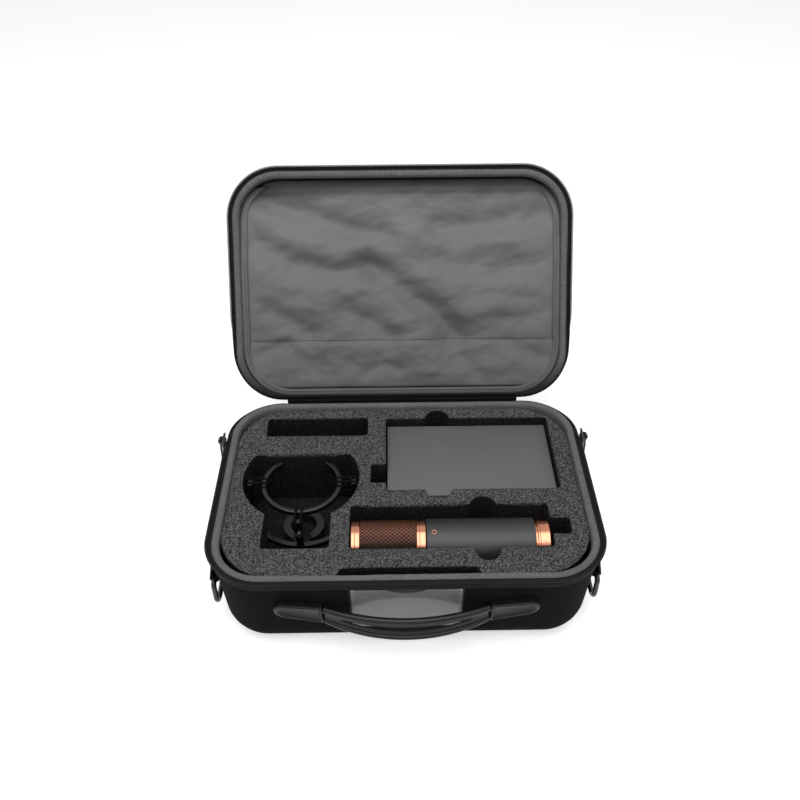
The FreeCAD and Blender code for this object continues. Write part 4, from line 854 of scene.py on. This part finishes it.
turned("head_ring", [(-44.3, 0), (-44.3, 17), (-43.6, 18), (-44.5, 19), (-44.5, 21.4), (-43.9, 22),
                     (-41.6, 22), (-41.3, 21.8), (-41, 22), (-37.7, 22), (-37.2, 21.5), (-37.2, 0)],
       copper, "mic_head_ring")
turned("collar", [(8.8, 0), (8.8, 21.4), (9.3, 22), (11.2, 22), (11.5, 21.8), (11.8, 22), (16, 22),
                  (16.6, 21.5), (16.6, 0)], copper, "mic_collar")
turned("body_tube", [(17, 0), (17, 21.3), (17.6, 22), (105.2, 22), (105.8, 21.4), (105.8, 0)],
       mic_paint, "mic_body")
turned("tail", [(106, 0), (106, 19.5), (107.4, 19.5), (107.4, 20.6), (107.9, 21), (109.2, 21), (109.4, 20.6),
                (109.6, 21), (117, 21), (118.1, 20), (118.3, 18.6), (118.3, 9.6), (111, 9.5), (111, 0)],
       copper, "mic_tail")
mesh_wire = Finish("copper mesh", metallic=1.0, roughness=0.34)
mesh_wire.tone(mesh_wire.speckle(3, 4), (0.12, 0.047, 0.029), (0.29, 0.12, 0.072))
dark_screen = Finish("dark screen", roughness=0.8)
dark_screen.tone(dark_screen.speckle(1.2), (0.004, 0.003, 0.003), (0.02, 0.012, 0.009))
turned("inner_screen", [(-37, 19.8), (8.6, 19.8)], dark_screen, None, 48)
wires, wire, mesh_radius, mesh_start, mesh_length, mesh_twist, wire_steps = 40, 0.36, 20.8, -37.2, 46, 1.9, 22
bm = bmesh.new()
for way in (-1, 1):
    known = set(bm.verts)
    ring = bmesh.ops.create_circle(bm, cap_ends=False, radius=wire, segments=5)["verts"]
    turn_by(bm, ring, math.pi / 2, "Y")
    bmesh.ops.translate(bm, vec=(mesh_start, 0, mesh_radius + wire / 3 * way), verts=ring)
    bmesh.ops.spin(bm, geom=joined(ring), axis=(1, 0, 0), dvec=(mesh_length / wire_steps, 0, 0),
                   angle=way * mesh_twist, steps=wire_steps)
    strand = [vert for vert in bm.verts if vert not in known]
    bmesh.ops.spin(bm, geom=joined(strand), axis=(1, 0, 0), angle=2 * math.pi * (wires - 1) / wires,
                   steps=wires - 1, use_duplicate=True)
faces_out(bm)
bmesh.ops.translate(bm, vec=(0, mic_y, mic_z), verts=bm.verts)
piece("head_mesh", bm, mesh_wire, "microphone", ["mic_grille"])
socket_plastic = Finish("socket plastic", roughness=0.45)
socket_plastic.tone(socket_plastic.speckle(3), (0.012, 0.012, 0.012), (0.025, 0.025, 0.025))
dress(socket_plastic, "mic_connector")
mark_x, mark_radius, mark_share, mark_turn, mark_level, mark_thick = 23.2, 2.1, 0.72, 11, 22.05, 0.3
bm = bmesh.new()
bmesh.ops.create_circle(bm, cap_ends=False, radius=mark_radius, segments=28)
inside = bmesh.ops.extrude_edge_only(bm, edges=list(bm.edges))["geom"]
bmesh.ops.scale(bm, vec=(mark_share, mark_share, 1), verts=verts_in(inside))
bmesh.ops.translate(bm, vec=(mark_x, 0, mark_level), verts=bm.verts)
turn_by(bm, bm.verts, math.radians(mark_turn), "X")
bmesh.ops.translate(bm, vec=(0, mic_y, mic_z), verts=bm.verts)
thicken(piece("side_mark", bm, copper, "microphone", []), mark_thick)

# Shock mount: a moulded half ring with three arms, and an open cradle ring slung on elastic bands.
# The foot carries a ribbed clamp disc, and one bright screw.
mount_plastic = Finish("mount plastic", specular_ior_level=0.38)
mount_plastic.tone(mount_plastic.speckle(8, 4), (0.003, 0.003, 0.0032), (0.008, 0.008, 0.0083))
mount_plastic.drive("Roughness", mount_plastic.speckle(5, 4) * 0.1 + 0.17)
mount_plastic.relief(mount_plastic.speckle(0.7), 0.06, 0.5)
disc_plastic = Finish("disc plastic", roughness=0.45, specular_ior_level=0.3)
disc_plastic.tone(disc_plastic.speckle(7, 4), (0.012, 0.012, 0.0125), (0.022, 0.022, 0.0225))
disc_plastic.relief(disc_plastic.speckle(0.8), 0.06, 0.5)
bright_steel = Finish("bright steel", metallic=1.0)
bright_steel.tone(bright_steel.speckle(1.5), (0.6, 0.6, 0.6), (0.8, 0.8, 0.79))
bright_steel.drive("Roughness", bright_steel.speckle(1) * 0.2 + 0.2)


def softened(name, node, width):
    """A copy of a carried-over piece with its edges rounded."""
    bm = copied(node)
    bmesh.ops.dissolve_limit(bm, angle_limit=math.radians(1), verts=bm.verts, edges=bm.edges)
    made = piece(name, in_millimetres(bm), mount_plastic, "shock_mount", [node])
    soften_edges(made, width, 3, 40)


softened("cradle_ring", "mount_cradle", 0.9)
softened("frame_ring", "mount_frame", 1.2)
dress(disc_plastic, "mount_base")
dress(bright_steel, "mount_screw")
elastic = Finish("elastic band", roughness=0.7, specular_ior_level=0.06)
plait = weave(elastic, 0.8)
elastic.tone(plait * 0.6 + elastic.speckle(3) * 0.4, (0.002, 0.002, 0.0021), (0.006, 0.006, 0.0063))
elastic.relief(plait, 0.2, 0.8)
mount_x, mount_y, band_level, band_spot, band_apart = -89, 10, 77.5, 38.5, 2.5
band_length, band_height, band_width, band_corner, band_thick = 19.6, 10.6, 1.8, 2.6, 1.1
bm = bmesh.new()
for turn in (math.pi, 0, -math.pi / 2):
    for shift in (-band_apart, band_apart):
        known, known_edges = set(bm.verts), set(bm.edges)
        rounded(bm, flat_sheet(bm, band_length, band_height), band_corner, 5)
        wide = bmesh.ops.extrude_edge_only(bm, edges=bare_loop(bm, known_edges))["geom"]
        bmesh.ops.translate(bm, vec=(0, 0, band_width), verts=verts_in(wide))
        band = [vert for vert in bm.verts if vert not in known]
        turn_by(bm, band, math.pi / 2, "X")
        bmesh.ops.translate(bm, vec=(band_spot, shift + band_width / 2, 0), verts=band)
        turn_by(bm, band, turn, "Z")
bmesh.ops.translate(bm, vec=(mount_x, mount_y, band_level), verts=bm.verts)
faces_out(bm)
bands = piece("elastic_bands", bm, elastic, "shock_mount", ["mount_elastics"])
thicken(bands, band_thick)
soften_edges(bands, 0.4, 2, 50)

# Carton: a plain lidded box of dark grey board, folded and glued, with a shallow lid over a tray.
# The board is uncoated, and its folded edges are a little round.
carton_board = Finish("carton board")
fibre = carton_board.speckle(1.1, 5, 0.7)
mottle = carton_board.speckle(40, 4)
carton_board.tone(fibre * 0.4 + mottle * 0.5, (0.078, 0.078, 0.0805), (0.126, 0.126, 0.13))
carton_board.drive("Roughness", carton_board.speckle(20, 4) * 0.2 + 0.45)
carton_board.relief(fibre, 0.08, 0.5)
carton_left, carton_right, carton_front, carton_back = -14.5, 132.5, -5.22, 84.18
tray_foot, tray_rim, tray_inset, cover_foot, cover_top = 31.3, 76, 1.5, 61.5, 77.5
board_thick, board_fold = 1.2, 0.7
for name, low, high, inset, node in (("carton_foot", tray_foot, tray_rim, tray_inset, "carton_tray"),
                                     ("carton_cover", cover_foot, cover_top, 0, "carton_lid")):
    wide, deep = carton_right - carton_left - 2 * inset, carton_back - carton_front - 2 * inset
    bm = bmesh.new()
    bmesh.ops.create_cube(bm, size=1)
    bmesh.ops.scale(bm, vec=(wide, deep, high - low), verts=bm.verts)
    rounded(bm, list(bm.edges), board_fold, 3, "EDGES")
    if inset == 0:
        under = [face for face in bm.faces if face.normal.z < -0.9 and face.calc_area() > 1000]
        bmesh.ops.inset_region(bm, faces=under, thickness=board_thick, depth=0)
        inside = list({vert for face in under for vert in face.verts})
        bmesh.ops.translate(bm, vec=(0, 0, high - low - board_thick), verts=inside)
    middle = ((carton_left + carton_right) / 2, (carton_front + carton_back) / 2, (low + high) / 2)
    bmesh.ops.translate(bm, vec=middle, verts=bm.verts)
    piece(name, bm, carton_board, "carton", [node])

# Studio: a pale floor that keeps the case's shadow, a white surround, and soft light from above.
# The camera stands in front of the case and looks down into it.
scene = bpy.context.scene
scene.view_settings.view_transform = "Standard"
floor_half, floor_glow, sky_seen, sky_light = 6000, 0.57, 1, 0.3
paper = Finish("white paper", base_color=(0.86, 0.86, 0.86, 1), roughness=0.9, specular_ior_level=0,
               emission_color=(1, 1, 1, 1))
bm = bmesh.new()
bmesh.ops.create_grid(bm, x_segments=1, y_segments=1, size=floor_half)
floor = piece("floor", bm, paper, None)


def seen_rays(tree, high, low):
    """A strength for what is seen, straight or in metal, and another for the light that falls on things."""
    rays = tree.nodes.new("ShaderNodeLightPath")
    total = rays.outputs["Is Camera Ray"]
    for kind in ("Is Glossy Ray", "Is Transmission Ray"):
        both = tree.nodes.new("ShaderNodeMath")
        both.operation = "MAXIMUM"
        tree.links.new(total, both.inputs[0])
        tree.links.new(rays.outputs[kind], both.inputs[1])
        total = both.outputs[0]
    strength = tree.nodes.new("ShaderNodeMath")
    strength.operation = "MULTIPLY_ADD"
    strength.inputs[1].default_value, strength.inputs[2].default_value = high - low, low
    tree.links.new(total, strength.inputs[0])
    return strength.outputs[0]


paper.tree.links.new(seen_rays(paper.tree, floor_glow, 0), paper.shader.inputs["Emission Strength"])
world = bpy.data.worlds.new("surround")
scene.world = world
world.use_nodes = True
sky = world.node_tree.nodes["Background"]
sky.inputs["Color"].default_value = (1, 1, 1, 1)
world.node_tree.links.new(seen_rays(world.node_tree, sky_seen, sky_light), sky.inputs["Strength"])
for name, spot, aim, size, power in (("softbox", (-0.1, -0.3, 1.5), (0, 0, 0.1), 1.6, 20),
                                     ("fill", (0.9, -0.9, 0.9), (0, 0.05, 0.1), 0.9, 1.5)):
    lamp = bpy.data.lights.new(name, "AREA")
    lamp.shape, lamp.size, lamp.energy = "DISK", size, power
    carrier = bpy.data.objects.new(name, lamp)
    carrier.location = spot
    carrier.rotation_euler = (Vector(aim) - Vector(spot)).to_track_quat("-Z", "Y").to_euler()
    scene.collection.objects.link(carrier)
yaw, pitch, roll = math.radians(-0.62), math.radians(40.106), math.radians(-0.3)
back = Vector((math.sin(yaw) * math.cos(pitch), -math.cos(yaw) * math.cos(pitch), math.sin(pitch)))
right = Vector((0, 0, 1)).cross(back).normalized()
up = back.cross(right)
right, up = right * math.cos(roll) + up * math.sin(roll), up * math.cos(roll) - right * math.sin(roll)
camera = bpy.data.cameras.new("camera")
camera.lens, camera.sensor_width, camera.clip_start = 38.7, 36, 0.01
viewer = bpy.data.objects.new("camera", camera)
viewer.matrix_world = Matrix((right, up, back)).transposed().to_4x4()
viewer.location = (-0.00887, -0.51765, 0.61684)
scene.collection.objects.link(viewer)
scene.camera = viewer
